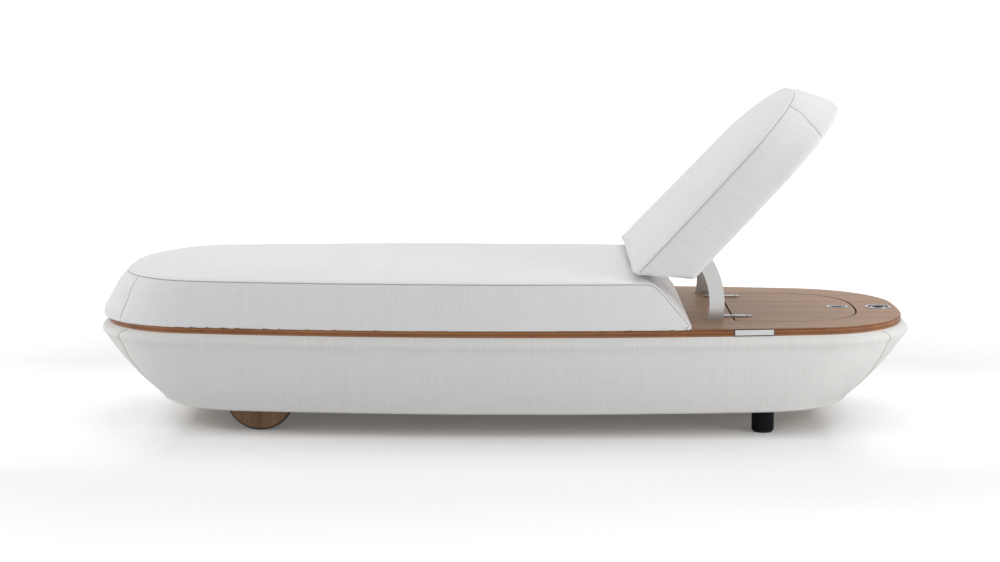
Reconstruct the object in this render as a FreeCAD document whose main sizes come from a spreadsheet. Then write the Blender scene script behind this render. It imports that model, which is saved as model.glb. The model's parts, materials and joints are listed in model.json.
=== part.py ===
import FreeCAD, Part
import math
import operator
import os
import Sketcher

# Relaxation lounger: a boat-shaped upholstered hull on two wheels and two feet, a timber deck
# with a storage lid, a mattress cushion, and a backrest carried by two sliding arc plates.
# X runs towards the head end, Y across (left is -Y), Z up. The origin is on the floor under
# the middle of the deck. The backrest is drawn lying flat and then raised about its axis.

# Driving dimensions in millimetres and degrees
SIZES = {
    # deck outline and board
    "deck_length": 2176,
    "deck_width": 800,
    "deck_thickness": 20,
    "deck_end_radius": 1400,
    "deck_corner_radius": 280,
    "deck_side_radius": 6000,
    "deck_edge_round": 2,
    # hull: its base outline, its slope and its rounded lip under the deck
    "foot_height": 62,
    "hull_height": 218,
    "base_end_setback": 130,
    "base_side_setback": 52,
    "base_corner_radius": 280,
    "base_round": 24,
    "base_tuck_end": 40,
    "base_tuck_side": 14,
    "lip_height": 40,
    "lip_end_swell": 5,
    "lip_side_setback": 6,
    "lip_bulge": 9,
    "cover_thickness": 8,
    "shell_wall": 5,
    "shell_rim_width": 46,
    "shell_rim_thickness": 6,
    "bottom_thickness": 12,
    "soft_gap": 0.3,
    "fit_gap": 0.15,
    "overrun": 10,
    # welded frame of square tube
    "tube_size": 25,
    "tube_wall": 2,
    "rail_inset": 119,
    "rail_end_inset": 370,
    "beam_from_foot_end": 558,
    "beam_before_axis": 152,
    # cushions
    "cushion_height": 117,
    "cushion_side_overhang": 4,
    "cushion_edge_round": 6,
    "cushion_side_run": 16,
    "cushion_shoulder": 120,
    "mattress_end_overhang": 13,
    "mattress_end_run": 66,
    "mattress_crown": 19,
    "mattress_join_crown": 7,
    "backrest_end_overhang": 23,
    "backrest_end_run": 51,
    "backrest_crown": 20,
    "backrest_join_crown": 17,
    "strip_thickness": 1.5,
    "strip_width": 40,
    "strip_length": 500,
    "strip_spacing": 520,
    "strip_pitch": 700,
    "strip_middle_from_foot_end": 725,
    # backrest axis, the faces that meet there, and how far it is raised
    "axis_from_head_end": 726,
    "axis_above_deck": 44,
    "mattress_face_distance": 77,
    "mattress_face_angle": 41,
    "mattress_foot_round": 5,
    "mattress_face_round": 36,
    "backrest_face_distance": 97,
    "backrest_face_angle": 39,
    "backrest_foot_round": 14,
    "backrest_face_round": 6,
    "backrest_lift": 5,
    "backrest_raise_angle": 46.6,
    "board_thickness": 12,
    "board_margin": 45,
    "board_end_margin": 20,
    # arc plates, their guides and brakes
    "arm_thickness": 5,
    "arm_outer_radius": 229,
    "arm_width": 40,
    "arm_tail_angle": 108,
    "arm_foot_length": 104,
    "arm_foot_width": 40,
    "arm_foot_thickness": 4,
    "arm_foot_lead": 4,
    "arm_screw_radius": 4,
    "arm_screw_length": 8,
    "arm_screw_pitch": 30,
    "slot_side_gap": 1.5,
    "slot_end_gap": 4,
    "tie_radius": 8,
    "tie_angle": 103,
    "guide_rail_gap": 10,
    "guide_height": 65,
    "guide_width": 40,
    "guide_wall": 14,
    "guide_radial_gap": 0.3,
    "brake_radius": 12,
    "brake_angle": 28,
    "brake_thickness": 4,
    "brake_gap": 0.06,
    # storage lid, bin and hinges
    "lid_from_head_end": 121,
    "lid_after_guides": 24.4,
    "lid_width": 482,
    "lid_corner_radius": 20,
    "lid_shoulder_radius": 180,
    "lid_end_radius": 700,
    "lid_gap": 4.6,
    "lid_edge_round": 1,
    "ledge_width": 12,
    "bin_wall": 3,
    "bin_depth": 140,
    "bin_rim_width": 9,
    "hinge_spacing": 344,
    "hinge_width": 20,
    "hinge_leaf_length": 51,
    "hinge_thickness": 4.5,
    "knuckle_radius": 4.5,
    "knuckle_length": 8,
    "knuckle_gap": 0.25,
    "hinge_pin_radius": 1.5,
    "pin_gap": 0.05,
    "hinge_screw_radius": 4.5,
    "hinge_screw_height": 0.8,
    "hinge_screw_inset": 10,
    # flush pull in the lid and flush lifting ring in the deck
    "pull_from_lid_tip": 43,
    "pull_plate_length": 58,
    "pull_plate_width": 40,
    "pull_corner": 9,
    "pull_ring_length": 36,
    "pull_ring_width": 20,
    "pull_bar": 4,
    "pull_thickness": 3,
    "pull_pivot_radius": 1.5,
    "lift_from_head_end": 51,
    "lift_plate_radius": 36,
    "lift_cup_radius": 31,
    "lift_cup_wall": 3,
    "lift_ring_radius": 22,
    "lift_bar": 6,
    "lift_thickness": 4,
    "lift_pivot_radius": 1.8,
    "lift_pivot_length": 44.4,
    "cup_plate_thickness": 1.2,
    "cup_wall": 1.5,
    "cup_depth": 14,
    "cup_margin": 6,
    # blank plate on the deck's edge
    "plate_from_head_end": 430,
    "plate_length": 103,
    "plate_height": 14,
    "plate_thickness": 1.5,
    "plate_corner": 1,
    # wheels
    "axle_from_foot_end": 433,
    "wheel_radius": 93,
    "wheel_width": 60,
    "wheel_edge": 2,
    "tyre_thickness": 4,
    "tyre_inset": 3,
    "tyre_round": 2,
    "axle_radius": 10,
    "axle_overhang": 2.5,
    "bush_wall": 3,
    "bush_overhang": 1.5,
    "spacer_radius": 18,
    "spacer_thickness": 1.1,
    "clip_thickness": 1.2,
    "clip_radius": 15,
    "housing_wall": 2.5,
    "housing_clearance": 6,
    "housing_rail_gap": 3.8,
    "housing_side_gap": 1.2,
    "housing_flange": 7,
    # feet
    "foot_from_head_end": 391,
    "foot_rail_inset": 16,
    "foot_radius": 30,
    "foot_chamfer": 2,
    "glide_height": 4,
    "glide_inset": 2,
    "bolt_radius": 5,
    "bolt_head_radius": 8.5,
    "bolt_head_height": 8,
    "bolt_seat": 16,
}

# Shares, chosen by hand, of how a rounding runs from its start (0) to its end (1)
ROUND_ANGLES = (90, 60, 30, 0)
INSIDE_ROUND_ANGLES = (90, 0)
CROWN_ANGLES = (18, 40, 62, 90)
# Shares of height and of draw: a cushion's side up to its seam, the hull's slope and its lip
SIDE_RING_SHARES = ((0.27, 0.2), (0.57, 0.47), (0.86, 0.81), (1.0, 1.0))
SLOPE_RING_SHARES = ((0.3, 0.37), (0.7, 0.76), (1.0, 1.0))
LIP_RING_SHARES = ((0.42, 1.0), (0.72, 0.85), (1.0, 0.0))
# Low enough that the lofts stay free of waves between their rings
LOFT_DEGREE = 3
# Places closer than this count as the same
NEAR = 0.01

doc = FreeCAD.newDocument("lounger")
ZERO = FreeCAD.Vector(0, 0, 0)
OPERATIONS = {"+": operator.add, "-": operator.sub, "*": operator.mul, "/": operator.truediv}
PIECES = []


class Size:
    """A number together with the sheet expression that gives it."""

    def __init__(self, value, text):
        self.value = float(value)
        self.text = text

    def __float__(self):
        return self.value

    def __add__(self, other):
        return joined(self, "+", other)

    def __radd__(self, other):
        return joined(other, "+", self)

    def __sub__(self, other):
        return joined(self, "-", other)

    def __rsub__(self, other):
        return joined(other, "-", self)

    def __mul__(self, other):
        return joined(self, "*", other)

    def __rmul__(self, other):
        return joined(other, "*", self)

    def __truediv__(self, other):
        return joined(self, "/", other)

    def __neg__(self):
        return Size(-self.value, "(0 - " + self.text + ")")


def as_size(item):
    """Let a plain number, such as a count or a measured length, join a sum of sizes."""
    return item if isinstance(item, Size) else Size(item, "({:.9g})".format(item))


def joined(left, sign, right):
    left, right = as_size(left), as_size(right)
    value = OPERATIONS[sign](left.value, right.value)
    return Size(value, "({} {} {})".format(left.text, sign, right.text))


def root(size):
    return Size(math.sqrt(size.value), "sqrt({})".format(size.text))


def cosine(angle):
    return Size(math.cos(math.radians(angle.value)), "cos({})".format(angle.text))


def sine(angle):
    return Size(math.sin(math.radians(angle.value)), "sin({})".format(angle.text))


def across(radius, drop):
    """Distance along X from the backrest's axis to an arc about it, at a depth below it."""
    return root(radius * radius - drop * drop)


def make_sheet():
    """Write the driving dimensions into the sheet and return them as sizes."""
    sheet = doc.addObject("Spreadsheet::Sheet", "sizes")
    sizes = {}
    for row, (name, number) in enumerate(SIZES.items(), start=1):
        cell = "B" + str(row)
        sheet.set("A" + str(row), name)
        sheet.set(cell, str(number))
        sheet.setAlias(cell, name)
        sizes[name] = Size(number, "sizes." + name)
    doc.recompute()
    return sizes


S = make_sheet()

# Places worked out from the driving dimensions
HALF_LENGTH = S["deck_length"] / 2
HALF_WIDTH = S["deck_width"] / 2
HULL_BOTTOM = S["foot_height"]
DECK_BOTTOM = HULL_BOTTOM + S["hull_height"]
DECK_TOP = DECK_BOTTOM + S["deck_thickness"]
FRAME_BOTTOM = HULL_BOTTOM + S["bottom_thickness"]
AXIS_X = HALF_LENGTH - S["axis_from_head_end"]
AXIS_Z = DECK_TOP + S["axis_above_deck"]
RAIL_OUTER = HALF_WIDTH - S["rail_inset"]
RAIL_INNER = RAIL_OUTER - S["tube_size"]
ARM_Y = RAIL_INNER - S["guide_rail_gap"] - S["guide_width"] / 2
ARM_INNER_RADIUS = S["arm_outer_radius"] - S["arm_width"]
ARM_MID_RADIUS = S["arm_outer_radius"] - S["arm_width"] / 2
GUIDE_DROP = AXIS_Z - DECK_BOTTOM
GUIDE_END = AXIS_X + across(S["arm_outer_radius"], GUIDE_DROP) + S["guide_wall"]
LID_TIP = HALF_LENGTH - S["lid_from_head_end"]
LID_EDGE = GUIDE_END + S["lid_after_guides"]
HINGE_X = LID_EDGE - S["lid_gap"] / 2
HINGE_Y = S["hinge_spacing"] / 2
AXLE_X = S["axle_from_foot_end"] - HALF_LENGTH
AXLE_Z = S["wheel_radius"]
HOUSING_HALF = S["wheel_width"] / 2 + S["bush_overhang"] + S["housing_side_gap"] + S["housing_wall"]
WHEEL_Y = RAIL_INNER - S["housing_rail_gap"] - HOUSING_HALF
FOOT_X = HALF_LENGTH - S["foot_from_head_end"]
FOOT_Y = RAIL_INNER - S["foot_rail_inset"]
PULL_X = LID_TIP - S["pull_from_lid_tip"]
LIFT_X = HALF_LENGTH - S["lift_from_head_end"]
BACKREST_BOTTOM = DECK_TOP + S["backrest_lift"]
MATTRESS_BOTTOM = DECK_TOP + S["strip_thickness"] + S["soft_gap"]
CUP_TOP = DECK_TOP + S["cup_plate_thickness"]


# Small tools that make bound objects

def piece(item, label):
    """Give a finished sub-part its label and keep it for the export."""
    item.Label = label
    PIECES.append(item)
    return item


def bind(item, path, size):
    item.setExpression(path, as_size(size).text)


def move(item, place):
    for axis, distance in zip("xyz", place):
        if float(distance):
            bind(item, "Placement.Base." + axis, distance)


def box(name, low, high):
    """Box between its lowest and its highest corner."""
    item = doc.addObject("Part::Box", name)
    for side, start, end in zip(("Length", "Width", "Height"), low, high):
        bind(item, side, as_size(end) - start)
    move(item, low)
    return item


TURNS = {
    "x": FreeCAD.Rotation(FreeCAD.Vector(0, 1, 0), 90),
    "y": FreeCAD.Rotation(FreeCAD.Vector(1, 0, 0), -90),
    "z": FreeCAD.Rotation(),
}


def rod(name, radius, start, length, axis="z"):
    """Cylinder from the middle of its first end, along an axis."""
    item = doc.addObject("Part::Cylinder", name)
    bind(item, "Radius", radius)
    bind(item, "Height", length)
    item.Placement = FreeCAD.Placement(ZERO, TURNS[axis])
    move(item, start)
    return item


def fuse(name, *parts):
    item = doc.addObject("Part::MultiFuse", name)
    item.Shapes = list(parts)
    return item


def cut(name, base, *tools):
    item = doc.addObject("Part::Cut", name)
    item.Base = base
    item.Tool = tools[0] if len(tools) == 1 else fuse(name + "_tools", *tools)
    return item


def common(name, *parts):
    item = doc.addObject("Part::MultiCommon", name)
    item.Shapes = list(parts)
    return item


def group(name, *parts):
    """Several identical small solids that share one node."""
    item = doc.addObject("Part::Compound", name)
    item.Links = list(parts)
    return item


def ring(name, outer, inner, start, length, axis="z"):
    hole = rod(name + "_hole", inner, start, length, axis)
    return cut(name, rod(name + "_outside", outer, start, length, axis), hole)


def rounded(name, base, radius, chosen):
    """Round the edges of a finished object that pass a test."""
    doc.recompute()
    item = doc.addObject("Part::Fillet", name)
    item.Base = base
    edges = enumerate(base.Shape.Edges, start=1)
    item.Edges = [(number, float(radius), float(radius)) for number, edge in edges if chosen(edge)]
    return item


def solid(name, shape):
    """Object that holds a shape made with Part's own functions."""
    item = doc.addObject("Part::Feature", name)
    item.Shape = shape
    return item


def slab(name, profile, bottom, height):
    """Flat profile at floor level, extruded upwards from a height."""
    base = solid(name + "_profile", profile)
    item = doc.addObject("Part::Extrusion", name)
    item.Base = base
    item.DirMode = "Custom"
    item.Dir = FreeCAD.Vector(0, 0, 1)
    item.Solid = True
    bind(item, "LengthFwd", height)
    move(item, (0, 0, bottom))
    return item


def band(side, inner, outer):
    """Low and high Y of a stretch that is given by its distances from the middle."""
    return (inner, outer) if side > 0 else (-outer, -inner)


def raised(item):
    """Turn a piece of the backrest from lying flat to its raised place."""
    turn = FreeCAD.Rotation(FreeCAD.Vector(0, -1, 0), float(S["backrest_raise_angle"]))
    centre = FreeCAD.Vector(float(AXIS_X), 0, float(AXIS_Z))
    item.Placement = FreeCAD.Placement(ZERO, turn, centre)
    return item


# Sketch tools for the PartDesign bodies

def new_body(name, role, offset=0):
    """Body with one sketch on an origin plane, lifted off it by a bound offset."""
    body = doc.addObject("PartDesign::Body", name)
    sketch = body.newObject("Sketcher::SketchObject", name + "_sketch")
    plane = next(item for item in body.Origin.OriginFeatures if item.Role == role)
    sketch.AttachmentSupport = (plane, [""])
    sketch.MapMode = "FlatFace"
    if isinstance(offset, Size):
        bind(sketch, "AttachmentOffset.Base.z", offset)
    return body, sketch


def set_datum(sketch, constraint, size):
    number = sketch.addConstraint(constraint)
    sketch.setExpression("Constraints[{}]".format(number), as_size(size).text)


def draw_circle(sketch, radius):
    """Circle about the sketch's origin."""
    place = FreeCAD.Vector(0, 0, 0)
    line = sketch.addGeometry(Part.Circle(place, FreeCAD.Vector(0, 0, 1), float(radius)), False)
    sketch.addConstraint(Sketcher.Constraint("Coincident", line, 3, -1, 1))
    set_datum(sketch, Sketcher.Constraint("Radius", line, float(radius)), radius)


def draw_rectangle(sketch, low, high):
    """Rectangle between two corners, each a pair of sizes from the origin."""
    left, bottom = as_size(low[0]), as_size(low[1])
    right, top = as_size(high[0]), as_size(high[1])
    corners = [(left, bottom), (right, bottom), (right, top), (left, top)]
    points = [FreeCAD.Vector(float(x), float(y), 0) for x, y in corners]
    lines = []
    for number in range(4):
        segment = Part.LineSegment(points[number], points[(number + 1) % 4])
        lines.append(sketch.addGeometry(segment, False))
    for number in range(4):
        following = lines[(number + 1) % 4]
        sketch.addConstraint(Sketcher.Constraint("Coincident", lines[number], 2, following, 1))
    for number in (0, 2):
        sketch.addConstraint(Sketcher.Constraint("Horizontal", lines[number]))
    for number in (1, 3):
        sketch.addConstraint(Sketcher.Constraint("Vertical", lines[number]))
    for line, corner in ((lines[0], (left, bottom)), (lines[2], (right, top))):
        for kind, size in zip(("DistanceX", "DistanceY"), corner):
            constraint = Sketcher.Constraint(kind, -1, 1, line, 1, float(size))
            set_datum(sketch, constraint, size)


def pad(body, sketch, length):
    feature = body.newObject("PartDesign::Pad", body.Name + "_pad")
    feature.Profile = sketch
    bind(feature, "Length", length)
    return feature


def revolve(body, sketch):
    """Turn a sketch about its own vertical axis."""
    feature = body.newObject("PartDesign::Revolution", body.Name + "_turned")
    feature.Profile = sketch
    feature.ReferenceAxis = (sketch, ["V_Axis"])
    feature.Angle = 360
    return feature


def soften(body, kind, size, chosen):
    """Add a Fillet or a Chamfer to the chosen edges of a body."""
    doc.recompute()
    base = body.Tip
    names = [
        "Edge" + str(number)
        for number, edge in enumerate(base.Shape.Edges, start=1)
        if chosen(edge)
    ]
    feature = body.newObject("PartDesign::" + kind, body.Name + "_" + kind.lower())
    feature.Base = (base, names)
    bind(feature, "Radius" if kind == "Fillet" else "Size", size)
    return feature


def lies_at(axis, place):
    """Test for an edge that lies wholly at one X, Y or Z."""
    def test(edge):
        low = getattr(edge.BoundBox, axis + "Min")
        high = getattr(edge.BoundBox, axis + "Max")
        return abs(low - float(place)) < NEAR and abs(high - float(place)) < NEAR
    return test


# Outlines

def point(x, y, height):
    return FreeCAD.Vector(float(x), float(y), float(height))


def arc(centre, radius, start, end, height):
    """Arc in a level plane, its angles in radians."""
    angles = (start, (start + end) / 2, end)
    x, y = centre
    places = [point(x + radius * math.cos(a), y + radius * math.sin(a), height) for a in angles]
    return Part.Arc(*places).toShape()


class Outline:
    """Oblong outline of eight tangent arcs: two ends, two sides and four corners."""

    NAMES = ("reach", "half_width", "end_radius", "corner_radius", "side_radius")

    def __init__(self, *sizes):
        self.sizes = [float(size) for size in sizes]
        self.reach, self.half_width, self.end_radius = self.sizes[:3]
        self.corner_radius, self.side_radius = self.sizes[3:]

    def inset(self, end, side):
        """Outline drawn in at its ends and its sides, with smaller radii to match."""
        end, side = float(end), float(side)
        change = (end, side, end, side, side)
        return Outline(*[size - step for size, step in zip(self.sizes, change)])

    def towards(self, other, share):
        """Outline part of the way from this one to another."""
        return Outline(*[a + (b - a) * share for a, b in zip(self.sizes, other.sizes)])

    def corner(self):
        """Centre of the corner arc, and the angles where it meets the end and the side."""
        end_x = self.reach - self.end_radius
        side_y = self.half_width - self.side_radius
        from_end = self.end_radius - self.corner_radius
        from_side = self.side_radius - self.corner_radius
        apart = math.hypot(end_x, side_y)
        along = (from_end ** 2 - from_side ** 2 + apart ** 2) / (2 * apart)
        across = math.sqrt(from_end ** 2 - along ** 2)
        step_x, step_y = -end_x / apart, side_y / apart
        x = end_x + along * step_x - across * step_y
        y = along * step_y + across * step_x
        return (x, y), math.atan2(y, x - end_x), math.atan2(y - side_y, x)

    def wire(self, height):
        (x, y), low, high = self.corner()
        end_x = self.reach - self.end_radius
        side_y = self.half_width - self.side_radius
        half_turn = math.pi
        runs = [
            ((end_x, 0), self.end_radius, -low, low),
            ((x, y), self.corner_radius, low, high),
            ((0, side_y), self.side_radius, high, half_turn - high),
            ((-x, y), self.corner_radius, half_turn - high, half_turn - low),
            ((-end_x, 0), self.end_radius, half_turn - low, half_turn + low),
            ((-x, -y), self.corner_radius, half_turn + low, half_turn + high),
            ((0, -side_y), self.side_radius, half_turn + high, 2 * half_turn - high),
            ((x, -y), self.corner_radius, 2 * half_turn - high, 2 * half_turn - low),
        ]
        return Part.Wire([arc(centre, radius, a, b, height) for centre, radius, a, b in runs])

    def face(self, height=0):
        return Part.Face(self.wire(height))


def deck_outline():
    radii = (S["deck_end_radius"], S["deck_corner_radius"], S["deck_side_radius"])
    return Outline(HALF_LENGTH, HALF_WIDTH, *radii)


def lid_face(offset):
    """Outline of the lid, grown by an offset: straight at the hinge, round at the tip."""
    grown = float(offset)
    edge = float(LID_EDGE) - grown
    half = float(S["lid_width"]) / 2 + grown
    small = float(S["lid_corner_radius"]) + grown
    large = float(S["lid_shoulder_radius"]) + grown
    end = float(S["lid_end_radius"]) + grown
    end_x = float(LID_TIP) + grown - end
    y = half - large
    x = end_x + math.sqrt((end - large) ** 2 - y ** 2)
    tilt = math.atan2(y, x - end_x)
    quarter = math.pi / 2
    runs = [
        Part.makeLine(point(edge + small, -half, 0), point(x, -half, 0)),
        arc((x, -y), large, -quarter, -tilt, 0),
        arc((end_x, 0), end, -tilt, tilt, 0),
        arc((x, y), large, tilt, quarter, 0),
        Part.makeLine(point(x, half, 0), point(edge + small, half, 0)),
        arc((edge + small, half - small), small, quarter, 2 * quarter, 0),
        Part.makeLine(point(edge, half - small, 0), point(edge, small - half, 0)),
        arc((edge + small, small - half), small, 2 * quarter, 3 * quarter, 0),
    ]
    return Part.Face(Part.Wire(runs))


def loft(rings):
    """Smooth solid through outlines, each given with its height."""
    wires = [outline.wire(height) for outline, height in rings]
    return Part.makeLoft(wires, True, False, False, LOFT_DEGREE)


# Hull

def hull_rings(inset):
    """Outlines of the hull from its rounded base up its slope to its lip, drawn in evenly."""
    top = deck_outline()
    base = Outline(
        HALF_LENGTH - S["base_end_setback"],
        HALF_WIDTH - S["base_side_setback"],
        S["deck_end_radius"] - S["base_end_setback"],
        S["base_corner_radius"],
        S["deck_side_radius"],
    )
    slope_top = top.inset(-S["lip_end_swell"], S["lip_side_setback"])
    bottom, round_height = float(HULL_BOTTOM), float(S["base_round"])
    lip_start = float(DECK_BOTTOM - S["lip_height"])
    rings = []
    for angle in INSIDE_ROUND_ANGLES if float(inset) else ROUND_ANGLES:
        share = 1 - math.cos(math.radians(angle))
        tucked = base.inset(S["base_tuck_end"] * share, S["base_tuck_side"] * share)
        rings.append((tucked, bottom + round_height * (1 - math.sin(math.radians(angle)))))
    start = bottom + round_height
    for rise, share in SLOPE_RING_SHARES:
        rings.append((base.towards(slope_top, share), start + (lip_start - start) * rise))
    bulged = slope_top.inset(-S["lip_bulge"], -S["lip_bulge"])
    rim = top.inset(S["soft_gap"], S["soft_gap"])
    for rise, swell in LIP_RING_SHARES:
        target = rim.towards(bulged, swell)
        rings.append((target, lip_start + float(S["lip_height"]) * rise))
    return [(outline.inset(inset, inset), height) for outline, height in rings]


def hull_form(name, inset):
    return solid(name, loft(hull_rings(inset)))


def make_hull():
    gap, wall = S["soft_gap"], S["shell_wall"]
    cover_inner = S["cover_thickness"]
    shell_outer = cover_inner + gap
    shell_inner = shell_outer + wall
    cover = cut("hull_cover", hull_form("cover_outside", 0), hull_form("cover_inside", cover_inner))
    piece(cover, "hull_cover")

    wall_form = cut("shell_wall", hull_form("shell_outside", shell_outer),
                    hull_form("shell_inside", shell_inner))
    rim_top = hull_rings(shell_outer + wall / 2)[-1][0]
    rim_height = S["shell_rim_thickness"]
    rim_low = DECK_BOTTOM - rim_height
    rim_plate = slab("shell_rim_plate", rim_top.face(), rim_low, rim_height)
    width = S["shell_rim_width"]
    rim_hole = slab("shell_rim_hole", rim_top.inset(width, width).face(), rim_low, rim_height)
    rim = cut("shell_rim", rim_plate, rim_hole)
    piece(fuse("hull_shell", wall_form, rim), "hull_shell")

    base = hull_rings(shell_inner + gap)[0][0]
    board = slab("bottom_blank", base.face(), HULL_BOTTOM, S["bottom_thickness"])
    holes = [wheel_opening("bottom_opening_" + word, side) for word, side in SIDES]
    for word, side in SIDES:
        start = (FOOT_X, FOOT_Y * side, HULL_BOTTOM)
        hole = S["bolt_radius"] + S["fit_gap"]
        holes.append(rod("bottom_bolt_hole_" + word, hole, start, S["bottom_thickness"]))
    piece(cut("bottom_board", board, *holes), "bottom_board")


SIDES = (("left", -1), ("right", 1))


def tube(name, low, high, along):
    """Outside and bore of one square tube; the bore runs along X, Y or Z."""
    wall = S["tube_wall"]
    outside = box(name, low, high)
    steps = [0 if axis == along else wall for axis in "xyz"]
    bore_low = [start + step for start, step in zip(low, steps)]
    bore_high = [end - step for end, step in zip(high, steps)]
    return outside, box(name + "_bore", bore_low, bore_high)


def make_frame():
    """Welded frame: a lower and an upper ladder of square tube, joined by posts."""
    size, wall = S["tube_size"], S["tube_wall"]
    rail_x = HALF_LENGTH - S["rail_end_inset"]
    levels = (("low", FRAME_BOTTOM), ("high", DECK_BOTTOM - size))
    first_beam = S["beam_from_foot_end"] - HALF_LENGTH
    last_beam = AXIS_X - S["beam_before_axis"]
    high_beams = [first_beam, (first_beam + last_beam) / 2, last_beam]
    beams = {"low": high_beams + [FOOT_X], "high": high_beams}
    outsides, bores = [], []

    def add(pair):
        outsides.append(pair[0])
        bores.append(pair[1])

    for word, side in SIDES:
        low_y, high_y = band(side, RAIL_INNER, RAIL_OUTER)
        for level, height in levels:
            low, high = (-rail_x, low_y, height), (rail_x, high_y, height + size)
            add(tube("rail_{}_{}".format(level, word), low, high, "x"))
        for number, x in enumerate([-rail_x + size / 2] + beams["low"]):
            low = (x - size / 2, low_y, FRAME_BOTTOM + size - wall)
            high = (x + size / 2, high_y, DECK_BOTTOM - size + wall)
            add(tube("post_{}_{}".format(number, word), low, high, "z"))
    for level, height in levels:
        for number, x in enumerate(beams[level]):
            low = (x - size / 2, -RAIL_INNER - wall, height)
            high = (x + size / 2, RAIL_INNER + wall, height + size)
            add(tube("beam_{}_{}".format(level, number), low, high, "y"))
    for word, side in SIDES:
        start = (FOOT_X, FOOT_Y * side, FRAME_BOTTOM - S["overrun"])
        length = S["tube_size"] + S["overrun"] * 2
        bores.append(rod("frame_bolt_hole_" + word, S["bolt_radius"] + S["fit_gap"], start, length))
    frame = cut("hull_frame", fuse("frame_tubes", *outsides), fuse("frame_bores", *bores))
    piece(frame, "hull_frame")


# Deck, lid and storage bin

def arm_slot(name, side):
    """Slot through the deck for one arc plate."""
    far = across(S["arm_outer_radius"], AXIS_Z - DECK_TOP)
    near = across(ARM_INNER_RADIUS, AXIS_Z - DECK_BOTTOM)
    half = S["arm_thickness"] / 2 + S["slot_side_gap"]
    low_y, high_y = band(side, ARM_Y - half, ARM_Y + half)
    low = (AXIS_X + near - S["slot_end_gap"], low_y, DECK_BOTTOM)
    high = (AXIS_X + far + S["slot_end_gap"], high_y, DECK_TOP)
    return box(name, low, high)


def knuckle_notch(name, side):
    """Room for a hinge's knuckles in the edges of the deck and the lid."""
    half = S["hinge_width"] / 2 + S["lid_edge_round"]
    low_y, high_y = band(side, HINGE_Y - half, HINGE_Y + half)
    radius = S["knuckle_radius"] + S["lid_edge_round"] / 2
    return rod(name, radius, (HINGE_X, low_y, DECK_TOP), high_y - low_y, "y")


def make_deck():
    blank = slab("deck_blank", deck_outline().face(), DECK_BOTTOM, S["deck_thickness"])
    levels = (lies_at("Z", DECK_BOTTOM), lies_at("Z", DECK_TOP))
    deck = rounded("deck_rounded", blank, S["deck_edge_round"],
                   lambda edge: any(test(edge) for test in levels))
    opening = slab("lid_opening", lid_face(S["lid_gap"]), DECK_BOTTOM, S["deck_thickness"])
    cutters = [opening]
    cutters += [arm_slot("arm_slot_" + word, side) for word, side in SIDES]
    cutters += [knuckle_notch("deck_notch_" + word, side) for word, side in SIDES]
    recess = S["cup_depth"] + S["fit_gap"]
    radius = S["lift_cup_radius"] + S["fit_gap"]
    cutters.append(rod("lift_recess", radius, (LIFT_X, 0, DECK_TOP - recess), recess))
    piece(cut("deck_board", deck, *cutters), "deck_board")


def make_lid():
    blank = slab("lid_blank", lid_face(0), DECK_BOTTOM, S["deck_thickness"])
    lid = rounded("lid_rounded", blank, S["lid_edge_round"], lies_at("Z", DECK_TOP))
    cutters = [knuckle_notch("lid_notch_" + word, side) for word, side in SIDES]
    cutters.append(pull_cup_block("pull_recess", S["fit_gap"]))
    piece(cut("lid_board", lid, *cutters), "lid_board")


def make_bin():
    """Tub under the lid; its rim lies under the deck and carries the lid."""
    ledge, wall = S["ledge_width"], S["bin_wall"]
    rim_grow = S["lid_gap"] + S["bin_rim_width"]
    rim = slab("bin_rim", lid_face(rim_grow), DECK_BOTTOM - wall, wall)
    depth = S["bin_depth"]
    tub = slab("bin_outside", lid_face(wall - ledge), DECK_BOTTOM - depth, depth)
    hollow = slab("bin_hollow", lid_face(-ledge), DECK_BOTTOM - depth + wall, depth - wall)
    piece(cut("storage_bin", fuse("bin_blank", rim, tub), hollow), "storage_bin")


def hinge_leaf(name, side, way):
    """One strap leaf: way is -1 on the deck and 1 on the lid."""
    half = S["hinge_width"] / 2
    middle = HINGE_Y * side
    length, thick = S["hinge_leaf_length"], S["hinge_thickness"]
    end = HINGE_X + (length - half) * way
    low_x, high_x = (HINGE_X, end) if way > 0 else (end, HINGE_X)
    plate = box(name + "_plate", (low_x, middle - half, DECK_TOP),
                (high_x, middle + half, DECK_TOP + thick))
    tip = rod(name + "_tip", half, (end, middle, DECK_TOP), thick)
    centre, gap = S["knuckle_length"] / 2, S["knuckle_gap"]
    radius = S["knuckle_radius"]
    if way > 0:
        knuckles = [(middle - centre, middle + centre)]
        rooms = [(middle - half - gap, middle - centre), (middle + centre, middle + half + gap)]
    else:
        knuckles = [(middle - half, middle - centre - gap), (middle + centre + gap, middle + half)]
        rooms = [(middle - centre - gap, middle + centre + gap)]
    barrels = [
        rod("{}_knuckle_{}".format(name, n), radius, (HINGE_X, low, DECK_TOP), high - low, "y")
        for n, (low, high) in enumerate(knuckles)
    ]
    clear = radius + gap * 4
    notches = [
        box("{}_room_{}".format(name, n), (HINGE_X - clear, low, DECK_TOP - clear),
            (HINGE_X + clear, high, DECK_TOP + clear))
        for n, (low, high) in enumerate(rooms)
    ]
    bore = rod(name + "_bore", S["hinge_pin_radius"] + S["pin_gap"],
               (HINGE_X, middle - half, DECK_TOP), half * 2, "y")
    leaf = cut(name + "_leaf", fuse(name + "_blank", plate, tip, *barrels), *notches)
    return cut(name, leaf, bore)


def hinge_screws(name, way):
    """Low screw heads near the ends of the two leaves on the deck, or on the lid."""
    heads = []
    x = HINGE_X + (S["hinge_leaf_length"] - S["hinge_screw_inset"]) * way
    for word, side in SIDES:
        start = (x, HINGE_Y * side, DECK_TOP + S["hinge_thickness"])
        head = rod(name + "_" + word, S["hinge_screw_radius"], start, S["hinge_screw_height"])
        heads.append(head)
    return group(name, *heads)


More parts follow.
